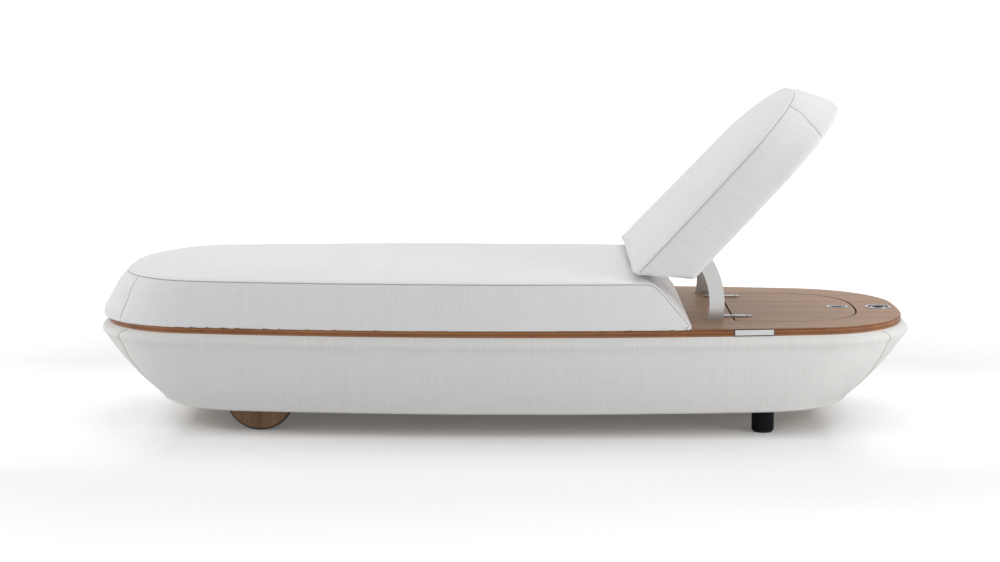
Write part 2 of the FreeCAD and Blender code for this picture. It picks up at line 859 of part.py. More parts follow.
def make_hinges():
    for word, side in SIDES:
        for part, way in (("deck", -1), ("lid", 1)):
            name = "hinge_{}_leaf_{}".format(part, word)
            piece(hinge_leaf(name, side, way), name)
        half = S["hinge_width"] / 2
        start = (HINGE_X, HINGE_Y * side - half, DECK_TOP)
        name = "hinge_pin_" + word
        piece(rod(name, S["hinge_pin_radius"], start, half * 2, "y"), name)
    piece(hinge_screws("hinge_deck_screws", -1), "hinge_deck_screws")
    piece(hinge_screws("hinge_lid_screws", 1), "hinge_lid_screws")


def oblong(name, length, width, corner, place, height):
    """Upright block with round corners, centred on a place at its foot."""
    x, y, z = place
    blank = box(name + "_blank", (x - length / 2, y - width / 2, z),
                (x + length / 2, y + width / 2, z + height))

    def upright(edge):
        return edge.BoundBox.ZLength > float(height) - NEAR
    return rounded(name, blank, corner, upright)


def pull_cup_block(name, grow):
    """The sunk part of the lid's pull, grown by a clearance."""
    length = S["pull_plate_length"] - S["cup_margin"] * 2 + grow * 2
    width = S["pull_plate_width"] - S["cup_margin"] * 2 + grow * 2
    depth = S["cup_depth"] + grow
    return oblong(name, length, width, S["cup_margin"], (PULL_X, 0, DECK_TOP - depth), depth)


def make_pull():
    """Flush pull of the lid: a cup with a face plate, and a ring that folds out of it."""
    corner = S["pull_corner"]
    plate = oblong("pull_face", S["pull_plate_length"], S["pull_plate_width"], corner,
                   (PULL_X, 0, DECK_TOP), S["cup_plate_thickness"])
    wall, margin = S["cup_wall"], S["cup_margin"]
    cup = pull_cup_block("pull_cup_block", 0 * wall)
    length = S["pull_plate_length"] - (margin + wall) * 2
    width = S["pull_plate_width"] - (margin + wall) * 2
    floor = DECK_TOP - S["cup_depth"] + wall
    hollow = oblong("pull_hollow", length, width, margin - wall, (PULL_X, 0, floor),
                    CUP_TOP - floor)
    pivot_x, pivot_z = pull_pivot()
    pin = S["pull_pivot_radius"] + S["pin_gap"]
    inner = S["pull_plate_width"] / 2 - margin
    bore = rod("pull_bore", pin, (pivot_x, -inner, pivot_z), inner * 2, "y")
    piece(cut("lid_pull_cup", fuse("pull_cup_blank", plate, cup), hollow, bore), "lid_pull_cup")

    thick, bar = S["pull_thickness"], S["pull_bar"]
    ring_length, ring_width = S["pull_ring_length"], S["pull_ring_width"]
    low = DECK_TOP - thick
    outside = oblong("pull_ring_outside", ring_length, ring_width, ring_width / 2 - bar / 8,
                     (PULL_X, 0, low), thick)
    window = oblong("pull_ring_window", ring_length - bar * 2, ring_width - bar * 2,
                    ring_width / 2 - bar - bar / 8, (PULL_X, 0, low), thick)
    reach = inner - S["fit_gap"] * 2
    pivot = rod("pull_ring_pivot", S["pull_pivot_radius"], (pivot_x, -reach, pivot_z),
                reach * 2, "y")
    piece(fuse("lid_pull_ring", cut("pull_loop", outside, window), pivot), "lid_pull_ring")


def pull_pivot():
    bar = S["pull_bar"]
    return PULL_X - S["pull_ring_length"] / 2 + bar / 2, DECK_TOP - S["pull_thickness"] / 2


def lift_pivot():
    return LIFT_X - S["lift_ring_radius"] + S["lift_bar"] / 2, DECK_TOP - S["lift_thickness"] / 2


def make_lift_ring():
    """Flush lifting ring at the head end: a round cup with a ring that folds out."""
    wall, depth = S["lift_cup_wall"], S["cup_depth"]
    plate = rod("lift_face", S["lift_plate_radius"], (LIFT_X, 0, DECK_TOP), S["cup_plate_thickness"])
    cup = rod("lift_cup_block", S["lift_cup_radius"], (LIFT_X, 0, DECK_TOP - depth), depth)
    floor = DECK_TOP - depth + S["cup_wall"]
    hollow = rod("lift_hollow", S["lift_cup_radius"] - wall, (LIFT_X, 0, floor), CUP_TOP - floor)
    pivot_x, pivot_z = lift_pivot()
    pin = S["lift_pivot_radius"]
    reach = S["lift_pivot_length"] / 2
    end = reach + S["fit_gap"]
    bore = rod("lift_bore", pin + S["pin_gap"], (pivot_x, -end, pivot_z), end * 2, "y")
    piece(cut("lift_cup", fuse("lift_cup_blank", plate, cup), hollow, bore), "lift_cup")

    thick = S["lift_thickness"]
    loop = ring("lift_loop", S["lift_ring_radius"], S["lift_ring_radius"] - S["lift_bar"],
                (LIFT_X, 0, DECK_TOP - thick), thick)
    pivot = rod("lift_ring_pivot", pin, (pivot_x, -reach, pivot_z), reach * 2, "y")
    piece(fuse("lift_ring", loop, pivot), "lift_ring")


def make_name_plate():
    """Blank plate on the left edge of the deck, square to the edge where it sits."""
    body, sketch = new_body("name_plate", "XZ_Plane")
    half_length, half_height = S["plate_length"] / 2, S["plate_height"] / 2
    draw_rectangle(sketch, (-half_length, -half_height), (half_length, half_height))
    pad(body, sketch, S["plate_thickness"])
    soften(body, "Fillet", S["plate_corner"], lambda edge: edge.BoundBox.YLength > NEAR)
    radius = float(S["deck_side_radius"])
    turn = math.asin(float(HALF_LENGTH - S["plate_from_head_end"]) / radius)
    y = radius - float(HALF_WIDTH) - radius * math.cos(turn)
    place = FreeCAD.Vector(radius * math.sin(turn), y, float(DECK_TOP - S["deck_thickness"] / 2))
    body.Placement = FreeCAD.Placement(place, FreeCAD.Rotation(FreeCAD.Vector(0, 0, 1),
                                                              math.degrees(turn)))
    piece(body, "name_plate")


# Cushions

def cushion_form(name, bottom, end_overhang, end_run, crown):
    """Whole oblong cushion: rounded foot, drawn-in sides up to the seam, then its crown."""
    widest = deck_outline().inset(-end_overhang, -S["cushion_side_overhang"])
    radius = float(S["cushion_edge_round"])
    low, seam = float(bottom), float(bottom + S["cushion_height"])
    rings = []
    for angle in ROUND_ANGLES:
        inset = radius * (1 - math.cos(math.radians(angle)))
        height = low + radius * (1 - math.sin(math.radians(angle)))
        rings.append((widest.inset(inset, inset), height))
    side_run = S["cushion_side_run"]
    for rise, share in SIDE_RING_SHARES:
        height = low + radius + (seam - low - radius) * rise
        rings.append((widest.inset(end_run * share, side_run * share), height))
    sides = solid(name + "_sides", loft(rings))
    rings = rings[-1:]
    shoulder = S["cushion_shoulder"]
    for angle in CROWN_ANGLES:
        share = 1 - math.cos(math.radians(angle))
        height = seam + float(crown) * math.sin(math.radians(angle))
        inset = (end_run + shoulder * share, side_run + shoulder * share)
        rings.append((widest.inset(*inset), height))
    return fuse(name, sides, solid(name + "_crown", loft(rings)))


def face_line(distance, angle, height):
    """X where an end face, at a distance from the backrest's axis, crosses a height."""
    return AXIS_X + (distance - (height - AXIS_Z) * sine(angle)) / cosine(angle)


def end_prism(name, way, bottom, crowns, distance, angle, radii):
    """Block with a slanting rounded end face that trims one cushion; way is its direction.

    The crowns are the cushion's rise above its seam where the face joins it and at its middle.
    """
    top = bottom + S["cushion_height"]
    join_crown, crown = crowns
    low, join = bottom, top + join_crown
    far = (HALF_LENGTH + S["overrun"] * 5) * way
    width = float(HALF_WIDTH + S["overrun"] * 2)
    corners = [
        (face_line(distance, angle, low), low),
        (face_line(distance, angle, join), join),
        ((far + AXIS_X) / 2, top + crown + S["soft_gap"]),
        (far, top + crown + S["soft_gap"]),
        (far, low),
    ]
    points = [FreeCAD.Vector(float(x), -width, float(z)) for x, z in corners]
    face = Part.Face(Part.makePolygon(points + points[:1]))
    block = face.extrude(FreeCAD.Vector(0, 2 * width, 0))
    for place, radius in zip(points[:2], radii):
        edges = [
            edge for edge in block.Edges
            if edge.BoundBox.YLength > width and abs(edge.Vertexes[0].X - place.x) < NEAR
            and abs(edge.Vertexes[0].Z - place.z) < NEAR
        ]
        block = block.makeFillet(float(radius), edges)
    return solid(name, block)


def make_mattress():
    crown = S["mattress_crown"]
    form = cushion_form("mattress_form", MATTRESS_BOTTOM, S["mattress_end_overhang"],
                        S["mattress_end_run"], crown)
    prism = end_prism("mattress_prism", -1, MATTRESS_BOTTOM, (S["mattress_join_crown"], crown),
                      S["mattress_face_distance"], S["mattress_face_angle"],
                      (S["mattress_foot_round"], S["mattress_face_round"]))
    piece(common("mattress_cushion", form, prism), "mattress_cushion")
    strips = []
    half_x, half_y = S["strip_pitch"] / 2, S["strip_spacing"] / 2
    middle_x = S["strip_middle_from_foot_end"] - HALF_LENGTH
    for word, side in SIDES:
        for end, way in (("foot", -1), ("head", 1)):
            centre = middle_x + half_x * way
            low_y, high_y = band(side, half_y - S["strip_width"] / 2, half_y + S["strip_width"] / 2)
            low = (centre - S["strip_length"] / 2, low_y, DECK_TOP)
            high = (centre + S["strip_length"] / 2, high_y, DECK_TOP + S["strip_thickness"])
            strips.append(box("strip_{}_{}".format(word, end), low, high))
    piece(group("mattress_strips", *strips), "mattress_strips")


def board_start():
    """X where the backrest's board begins, behind the lower corner of its end face."""
    corner = face_line(S["backrest_face_distance"], S["backrest_face_angle"], BACKREST_BOTTOM)
    return corner + S["board_end_margin"]


def board_slab(name, bottom, height, grow):
    """Plan shape of the backrest's board, grown by a clearance."""
    outline = deck_outline().inset(S["board_margin"] - grow, S["board_margin"] - grow)
    plan = slab(name + "_plan", outline.face(), bottom, height)
    low = (board_start() - grow, -HALF_WIDTH, bottom)
    keep = box(name + "_keep", low, (HALF_LENGTH, HALF_WIDTH, bottom + height))
    return common(name, plan, keep)


def make_backrest():
    crown = S["backrest_crown"]
    form = cushion_form("backrest_form", BACKREST_BOTTOM, S["backrest_end_overhang"],
                        S["backrest_end_run"], crown)
    prism = end_prism("backrest_prism", 1, BACKREST_BOTTOM, (S["backrest_join_crown"], crown),
                      S["backrest_face_distance"], S["backrest_face_angle"],
                      (S["backrest_foot_round"], S["backrest_face_round"]))
    gap, foot = S["soft_gap"], S["arm_foot_thickness"]
    depth = foot + S["board_thickness"] + gap
    pocket = board_slab("board_pocket", BACKREST_BOTTOM, depth, gap)
    cushion = cut("backrest_cushion", common("backrest_block", form, prism), pocket)
    piece(raised(cushion), "backrest_cushion")

    board = board_slab("backrest_blank", BACKREST_BOTTOM + foot, S["board_thickness"], 0 * gap)
    holes = screw_rods("board_hole", S["arm_screw_radius"] + S["fit_gap"],
                       BACKREST_BOTTOM + foot, S["arm_screw_length"])
    piece(raised(cut("backrest_board", board, *holes)), "backrest_board")
    screws = screw_rods("arm_screw", S["arm_screw_radius"], BACKREST_BOTTOM,
                        foot + S["arm_screw_length"])
    piece(raised(group("arm_screws", *screws)), "arm_screws")


def arm_foot_start():
    return board_start() + S["arm_foot_lead"]


def screw_rods(name, radius, bottom, length):
    """Rods where the arm feet are screwed to the board, two beside each arc plate."""
    rods = []
    last = arm_foot_start() + S["arm_foot_length"] - S["arm_screw_radius"] * 3
    for word, side in SIDES:
        for number in range(2):
            place = (last - S["arm_screw_pitch"] * number, ARM_Y * side, bottom)
            rods.append(rod("{}_{}_{}".format(name, word, number), radius, place, length))
    return rods


def sector(name, side, radii, half_thickness, angles):
    """Part of a flat ring about the backrest's axis, between two angles below the level."""
    inner, outer = (float(radius) for radius in radii)
    start, end = (-math.radians(float(angle)) for angle in angles)
    low_y = float(ARM_Y) * side - float(half_thickness)
    middle = (start + end) / 2

    def rim(radius, angle):
        x = float(AXIS_X) + radius * math.cos(angle)
        return FreeCAD.Vector(x, low_y, float(AXIS_Z) + radius * math.sin(angle))
    runs = [
        Part.Arc(rim(outer, start), rim(outer, middle), rim(outer, end)).toShape(),
        Part.makeLine(rim(outer, end), rim(inner, end)),
        Part.Arc(rim(inner, end), rim(inner, middle), rim(inner, start)).toShape(),
        Part.makeLine(rim(inner, start), rim(outer, start)),
    ]
    face = Part.Face(Part.Wire(runs))
    return solid(name, face.extrude(FreeCAD.Vector(0, 2 * float(half_thickness), 0)))


def make_arms():
    """Arc plates with a welded foot under the board, and the bar that ties their tails."""
    half = S["arm_thickness"] / 2
    foot_bottom = BACKREST_BOTTOM
    foot_top = foot_bottom + S["arm_foot_thickness"]
    tie_x = AXIS_X + ARM_MID_RADIUS * cosine(S["tie_angle"])
    tie_z = AXIS_Z - ARM_MID_RADIUS * sine(S["tie_angle"])
    pin = S["tie_radius"] / 2
    for word, side in SIDES:
        name = "arm_" + word
        radii = (ARM_INNER_RADIUS, S["arm_outer_radius"])
        plate = sector(name + "_arc", side, radii, half, (0, S["arm_tail_angle"]))
        above = box(name + "_above", (AXIS_X, ARM_Y * side - half * 2, foot_top),
                    (HALF_LENGTH, ARM_Y * side + half * 2, AXIS_Z + S["overrun"]))
        low_y = ARM_Y * side - S["arm_foot_width"] / 2
        foot = box(name + "_foot", (arm_foot_start(), low_y, foot_bottom),
                   (arm_foot_start() + S["arm_foot_length"], low_y + S["arm_foot_width"], foot_top))
        hole = rod(name + "_tie_hole", pin + S["fit_gap"], (tie_x, ARM_Y * side - half, tie_z),
                   half * 2, "y")
        holes = [hole]
        for screw in screw_rods(name + "_hole", S["arm_screw_radius"] + S["fit_gap"],
                                foot_bottom, S["arm_foot_thickness"]):
            holes.append(screw)
        trimmed = cut(name + "_trimmed", plate, above)
        piece(raised(cut(name, fuse(name + "_blank", trimmed, foot), *holes)), name)
    inner = ARM_Y - half - S["fit_gap"]
    bar = rod("tie_bar", S["tie_radius"], (tie_x, -inner, tie_z), inner * 2, "y")
    outer = ARM_Y + half
    core = rod("tie_core", pin, (tie_x, -outer, tie_z), outer * 2, "y")
    piece(raised(fuse("arm_tie_bar", bar, core)), "arm_tie_bar")


def make_guides():
    """Guide blocks under the deck, each with a curved channel, a brake pad and its plug."""
    gap = S["guide_radial_gap"]
    left = AXIS_X + across(ARM_INNER_RADIUS, GUIDE_DROP + S["guide_height"]) - S["guide_wall"]
    brake_x = AXIS_X + ARM_MID_RADIUS * cosine(S["brake_angle"])
    brake_z = AXIS_Z - ARM_MID_RADIUS * sine(S["brake_angle"])
    half = S["arm_thickness"] / 2
    for word, side in SIDES:
        name = "arm_guide_" + word
        low_y, high_y = ARM_Y * side - S["guide_width"] / 2, ARM_Y * side + S["guide_width"] / 2
        block = box(name + "_block", (left, low_y, DECK_BOTTOM - S["guide_height"]),
                    (GUIDE_END, high_y, DECK_BOTTOM))
        radii = (ARM_INNER_RADIUS - gap, S["arm_outer_radius"] + gap)
        channel = sector(name + "_channel", side, radii, half + S["fit_gap"], (0, 90))
        face, pad_end = ARM_Y + half + S["brake_gap"], ARM_Y + half + S["brake_thickness"]
        outside = ARM_Y + S["guide_width"] / 2
        radius = S["brake_radius"]
        low, high = band(side, ARM_Y, outside)
        socket = rod(name + "_socket", radius + S["fit_gap"], (brake_x, low, brake_z), high - low, "y")
        piece(cut(name, block, channel, socket), name)
        low, high = band(side, face, pad_end)
        pad_name = "brake_pad_" + word
        piece(rod(pad_name, radius, (brake_x, low, brake_z), high - low, "y"), pad_name)
        low, high = band(side, pad_end, outside)
        plug_name = "brake_plug_" + word
        plug = rod(plug_name + "_blank", radius, (brake_x, low, brake_z), high - low, "y")
        socket_low, socket_high = band(side, outside - S["brake_thickness"], outside)
        key = rod(plug_name + "_key", radius / 3, (brake_x, socket_low, brake_z),
                  socket_high - socket_low, "y")
        piece(cut(plug_name, plug, key), plug_name)


# Wheels and feet

def wheel_opening(name, side):
    """Cut-out of the bottom board under one wheel housing."""
    reach = S["wheel_radius"] + S["housing_clearance"] + S["housing_wall"] + S["fit_gap"]
    inner, outer = housing_sides()
    low_y, high_y = band(side, inner - S["fit_gap"], outer + S["fit_gap"])
    low = (AXLE_X - reach, low_y, HULL_BOTTOM)
    return box(name, low, (AXLE_X + reach, high_y, FRAME_BOTTOM))


def housing_sides():
    """Distances from the middle to the inner and outer face of a wheel housing."""
    return WHEEL_Y - HOUSING_HALF, WHEEL_Y + HOUSING_HALF


def make_housing(word, side):
    """Sheet-metal wheel housing: open below, flanged on all sides but the frame's rail."""
    name = "wheel_housing_" + word
    wall = S["housing_wall"]
    reach = S["wheel_radius"] + S["housing_clearance"]
    inner, outer = housing_sides()
    top = AXLE_Z + reach
    low_y, high_y = band(side, inner, outer)
    shell = box(name + "_shell", (AXLE_X - reach - wall, low_y, HULL_BOTTOM),
                (AXLE_X + reach + wall, high_y, top + wall))
    edge = S["housing_flange"]
    rim_low, rim_high = band(side, inner - edge, outer)
    flange = box(name + "_flange", (AXLE_X - reach - wall - edge, rim_low, FRAME_BOTTOM),
                 (AXLE_X + reach + wall + edge, rim_high, FRAME_BOTTOM + wall))
    hollow_low, hollow_high = band(side, inner + wall, outer - wall)
    hollow = box(name + "_hollow", (AXLE_X - reach, hollow_low, HULL_BOTTOM),
                 (AXLE_X + reach, hollow_high, top))
    start = (AXLE_X, low_y, AXLE_Z)
    bore = rod(name + "_bore", S["axle_radius"] + S["fit_gap"], start, high_y - low_y, "y")
    piece(cut(name, fuse(name + "_blank", shell, flange), hollow, bore), name)


def turned_body(name, low, high, place):
    """Body turned about a Y axis from a rectangle of radius against width."""
    body, sketch = new_body(name, "XY_Plane")
    draw_rectangle(sketch, low, high)
    revolve(body, sketch)
    move(body, place)
    return body


def make_wheel(word, side):
    place = (AXLE_X, WHEEL_Y * side, AXLE_Z)
    half = S["wheel_width"] / 2
    bush_radius = S["axle_radius"] + S["bush_wall"]
    disc_radius = S["wheel_radius"] - S["tyre_thickness"]
    disc = turned_body("wheel_disc_" + word, (bush_radius, -half), (disc_radius, half), place)

    def rim(edge):
        return abs(edge.BoundBox.XMax - float(disc_radius)) < NEAR and edge.BoundBox.YLength < NEAR
    soften(disc, "Chamfer", S["wheel_edge"], rim)
    piece(disc, "wheel_disc_" + word)

    tread = half - S["tyre_inset"]
    tyre = turned_body("wheel_tyre_" + word, (disc_radius, -tread), (S["wheel_radius"], tread), place)

    def shoulder(edge):
        at_rim = abs(edge.BoundBox.XMax - float(S["wheel_radius"])) < NEAR
        return at_rim and edge.BoundBox.YLength < NEAR
    soften(tyre, "Fillet", S["tyre_round"], shoulder)
    piece(tyre, "wheel_tyre_" + word)

    bore = S["axle_radius"] + S["pin_gap"]
    length = half + S["bush_overhang"]
    bush = turned_body("wheel_bush_" + word, (bore, -length), (bush_radius, length), place)
    piece(bush, "wheel_bush_" + word)


def make_wheels():
    for word, side in SIDES:
        make_wheel(word, side)
        make_housing(word, side)
    inner, outer = housing_sides()
    radius, gap = S["axle_radius"], S["pin_gap"]
    reach = outer + S["axle_overhang"]
    axle = rod("wheel_axle", radius, (AXLE_X, -reach, AXLE_Z), reach * 2, "y")
    piece(axle, "wheel_axle")
    spacers, clips = [], []
    thick, wall = S["spacer_thickness"], S["housing_wall"]
    for word, side in SIDES:
        places = (("inside", inner + wall + gap), ("outside", outer - wall - thick - gap))
        for number, (end, start) in enumerate(places):
            low, high = band(side, start, start + thick)
            name = "spacer_{}_{}".format(word, end)
            spacers.append(ring(name, S["spacer_radius"], radius + gap, (AXLE_X, low, AXLE_Z),
                                high - low, "y"))
        low, high = band(side, outer + gap, outer + gap + S["clip_thickness"])
        clips.append(ring("clip_" + word, S["clip_radius"], radius + gap, (AXLE_X, low, AXLE_Z),
                          high - low, "y"))
    piece(group("wheel_spacers", *spacers), "wheel_spacers")
    piece(group("axle_clips", *clips), "axle_clips")


def make_feet():
    """Two round feet, each on a glide and held by a bolt through the hull into the frame."""
    bolts = []
    for word, side in SIDES:
        place = (FOOT_X, FOOT_Y * side, 0)
        body, sketch = new_body("foot_" + word, "XY_Plane", S["glide_height"])
        draw_circle(sketch, S["foot_radius"])
        draw_circle(sketch, S["bolt_radius"] + S["fit_gap"])
        pad(body, sketch, S["foot_height"] - S["glide_height"])
        seat = body.newObject("Sketcher::SketchObject", body.Name + "_seat_sketch")
        seat.AttachmentSupport = sketch.AttachmentSupport
        seat.MapMode = "FlatFace"
        bind(seat, "AttachmentOffset.Base.z", S["glide_height"])
        draw_circle(seat, S["bolt_head_radius"] + S["fit_gap"])
        recess = body.newObject("PartDesign::Pocket", body.Name + "_seat")
        recess.Profile = seat
        recess.Reversed = True
        bind(recess, "Length", S["bolt_seat"])

        def lower_rim(edge):
            level = lies_at("Z", S["glide_height"])(edge)
            return level and edge.BoundBox.XLength > float(S["foot_radius"])
        soften(body, "Chamfer", S["foot_chamfer"], lower_rim)
        move(body, place)
        piece(body, "foot_" + word)

        glide, sketch = new_body("foot_glide_" + word, "XY_Plane")
        draw_circle(sketch, S["foot_radius"] - S["foot_chamfer"] - S["glide_inset"])
        pad(glide, sketch, S["glide_height"])
        move(glide, place)
        piece(glide, "foot_glide_" + word)

        seat_top = S["glide_height"] + S["bolt_seat"]
        head = rod("bolt_head_" + word, S["bolt_head_radius"],
                   (FOOT_X, FOOT_Y * side, seat_top - S["bolt_head_height"]), S["bolt_head_height"])
        shank_top = FRAME_BOTTOM + S["tube_size"]
        shank = rod("bolt_shank_" + word, S["bolt_radius"], (FOOT_X, FOOT_Y * side, seat_top),
                    shank_top - seat_top)
        bolts.append(fuse("bolt_" + word, head, shank))
    piece(group("foot_bolts", *bolts), "foot_bolts")


def check():
    """Stop with a plain message if any object failed or any sub-part has a bad shape."""
    doc.recompute()
    for item in doc.Objects:
        bad = [word for word in item.State if word in ("Invalid", "Error")]
        if bad:
            raise RuntimeError("{} is {}".format(item.Name, bad[0]))
    for item in PIECES:
        if item.Shape.isNull() or not item.Shape.isValid() or not item.Shape.Solids:
            raise RuntimeError("{} has no valid solid".format(item.Label))


def export():
    os.makedirs("parts", exist_ok=True)
    for item in PIECES:
        item.Shape.exportStep("parts/{}.step".format(item.Label))
        shape = item.Shape
        print("{:24s} {:2d} solids {:12.0f} mm3".format(item.Label, len(shape.Solids), shape.Volume))


make_hull()
make_frame()
make_deck()
make_lid()
make_bin()
make_hinges()
make_pull()
make_lift_ring()
make_name_plate()
make_mattress()
make_backrest()
make_arms()
make_guides()
make_wheels()
make_feet()
check()
export()
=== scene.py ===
import json
import math

import bpy
import numpy as np
from mathutils import Euler, Matrix, Vector, noise
from mathutils.bvhtree import BVHTree
from mathutils.kdtree import KDTree


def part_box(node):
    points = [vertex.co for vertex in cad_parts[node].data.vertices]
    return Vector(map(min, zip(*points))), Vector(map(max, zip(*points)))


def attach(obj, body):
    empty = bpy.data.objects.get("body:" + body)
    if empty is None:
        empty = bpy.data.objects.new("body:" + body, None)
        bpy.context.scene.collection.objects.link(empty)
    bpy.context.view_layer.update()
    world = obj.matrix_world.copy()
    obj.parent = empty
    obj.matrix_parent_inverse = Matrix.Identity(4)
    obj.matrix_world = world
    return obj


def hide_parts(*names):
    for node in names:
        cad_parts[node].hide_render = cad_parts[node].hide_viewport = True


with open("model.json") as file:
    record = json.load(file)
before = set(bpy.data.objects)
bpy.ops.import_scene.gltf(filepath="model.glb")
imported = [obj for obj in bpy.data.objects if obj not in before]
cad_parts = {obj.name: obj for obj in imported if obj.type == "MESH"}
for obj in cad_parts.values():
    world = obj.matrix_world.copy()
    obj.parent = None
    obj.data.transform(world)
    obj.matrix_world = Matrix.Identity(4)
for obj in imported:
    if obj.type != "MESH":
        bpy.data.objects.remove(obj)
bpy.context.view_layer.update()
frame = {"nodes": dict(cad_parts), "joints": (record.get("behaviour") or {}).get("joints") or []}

# The relaxation lounger's looks. Lengths are in metres, angles in radians.
# X runs towards the head end, Y across (left, the camera's side, is -Y), Z up.

NODES = frame["nodes"]
SCENE = bpy.context.scene
MM = 0.001

# Places read from the frame
DECK_LOW, DECK_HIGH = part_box("deck_board")
HALF_LENGTH, HALF_WIDTH = DECK_HIGH.x, DECK_HIGH.y
DECK_BOTTOM, DECK_TOP = DECK_LOW.z, DECK_HIGH.z
HULL_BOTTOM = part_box("hull_cover")[0].z
MATTRESS_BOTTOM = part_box("mattress_cushion")[0].z
JOINTS = {joint["name"]: joint for joint in frame["joints"]}
AXIS = Vector(JOINTS["backrest_tilt"]["pos_m"])
BACKREST_RAISE = math.radians(-JOINTS["backrest_tilt"]["range_deg"][0])

# Outline of the deck, and how the hull and the cushions depart from it
END_RADIUS = 1400 * MM
CORNER_RADIUS = 280 * MM
SIDE_RADIUS = 6000 * MM
BASE_END_SETBACK = 141 * MM
BASE_SIDE_SETBACK = 52 * MM
BASE_CORNER_RADIUS = 250 * MM
BASE_ROUND = 12 * MM
BASE_TUCK_END = 24 * MM
BASE_TUCK_SIDE = 14 * MM
LIP_HEIGHT = 40 * MM
LIP_END_SWELL = 8 * MM
LIP_SIDE_SETBACK = 6 * MM
LIP_BULGE = 11 * MM
RIM_INSET = 0.3 * MM
COVER_THICKNESS = 8 * MM
BACKREST_GAP = 5 * MM
CUSHION_HEIGHT = 117 * MM
CUSHION_SIDE_OVERHANG = 4 * MM
CUSHION_SIDE_RUN = 16 * MM
SLOPE_RING_SHARES = ((0.0, 0.0), (0.3, 0.36), (0.7, 0.76), (1.0, 1.0))
LIP_RING_SHARES = ((0.42, 1.0), (0.72, 0.85), (1.0, 0.0))

# Seams: welts and dark cords of painted shade, how deep and wide they draw the cloth in, and how
# far painted shade darkens the cloth beside them
WELT_RADIUS = 1.6 * MM
WELT_ASIDE = 2.2 * MM
SHADE_CORD_RADIUS = 0.55 * MM
CORD_SIDES = 8
CORD_SEAT_SHARE = 0.35
SEAM_STEP = 3 * MM
SEAM_MARGIN = 5 * MM
SEAM_DEPTH = 1.8 * MM
SEAM_REACH = 4.5 * MM
# Painted shade beside the seams: how far it reaches and how dark it gets
SEAM_SHADE_REACH = 2 * MM
SEAM_SHADE_SHARE = 0.3

# Relief of the cloth, timber, steel and plastic
YARN = 1.7 * MM
WEAVE_RELIEF = 0.5 * MM
GRAIN_RELIEF = 0.25 * MM
BRUSH_RELIEF = 0.1 * MM
PEBBLE_RELIEF = 0.15 * MM
DECK_PLY = 9.6 * MM
PLYWOOD_PLY = 3 * MM

# Softened edges of rigid pieces
PLATE_EDGE = 0.6 * MM
RING_EDGE = 0.8 * MM
FINE_EDGE = 0.35 * MM
EDGE_ANGLE = math.radians(40)


# Mesh tools

def new_piece(name, vertices, faces, material, smooth=True):
    """New mesh object from points and faces."""
    mesh = bpy.data.meshes.new(name)
    mesh.from_pydata([tuple(v) for v in vertices], [], [tuple(f) for f in faces])
    mesh.update()
    item = bpy.data.objects.new(name, mesh)
    SCENE.collection.objects.link(item)
    if smooth:
        mesh.polygons.foreach_set("use_smooth", [True] * len(mesh.polygons))
    mesh.materials.append(material)
    return item


def read_points(mesh):
    points = np.zeros(len(mesh.vertices) * 3, np.float32)
    mesh.vertices.foreach_get("co", points)
    return points.reshape(-1, 3).astype(float)


def write_points(mesh, points):
    mesh.vertices.foreach_set("co", points.astype(np.float32).ravel())
    mesh.update()


def read_normals(mesh):
    normals = np.zeros(len(mesh.vertices) * 3, np.float32)
    mesh.vertex_normals.foreach_get("vector", normals)
    return normals.reshape(-1, 3).astype(float)


def write_attribute(mesh, name, values):
    attribute = mesh.attributes.new(name, "FLOAT", "POINT")
    attribute.data.foreach_set("value", np.asarray(values, np.float32))


def apply_modifiers(item):
    """Keep the mesh as its modifiers make it, and drop them."""
    depsgraph = bpy.context.evaluated_depsgraph_get()
    mesh = bpy.data.meshes.new_from_object(item.evaluated_get(depsgraph))
    item.modifiers.clear()
    item.data = mesh


def point_tree(points):
    """Tree that finds the nearest of the points."""
    tree = KDTree(len(points))
    for number, point in enumerate(points):
        tree.insert(point, number)
    tree.balance()
    return tree


def distances(points, targets):
    """Distance from each point to the nearest of the targets."""
    tree = point_tree(targets)
    return np.array([tree.find(point)[2] for point in points])


def ring_faces(rings, around, first=0, closed=False):
    """Faces between rings of points that follow each other, each with as many points."""
    faces = []
    for ring in range(rings if closed else rings - 1):
        here, there = first + ring * around, first + (ring + 1) % rings * around
        for step in range(around):
            following = (step + 1) % around
            faces.append((here + step, here + following, there + following, there + step))
    return faces


def resampled(path):
    """The same path with points an even seam step apart."""
    points = np.array([tuple(p) for p in path])
    lengths = np.concatenate([[0], np.cumsum(np.linalg.norm(np.diff(points, axis=0), axis=1))])
    places = np.linspace(0, lengths[-1], max(2, int(lengths[-1] / SEAM_STEP) + 1))
    return [Vector(p) for p in np.column_stack([np.interp(places, lengths, c) for c in points.T])]


def bevelled(node, width, segments=2):
    """Soften the edges of a rigid CAD piece."""
    bevel = NODES[node].modifiers.new("softened_edges", "BEVEL")
    bevel.width = width
    bevel.segments = segments
    bevel.limit_method = "ANGLE"
    bevel.angle_limit = EDGE_ANGLE
    bevel.harden_normals = False


# Outlines

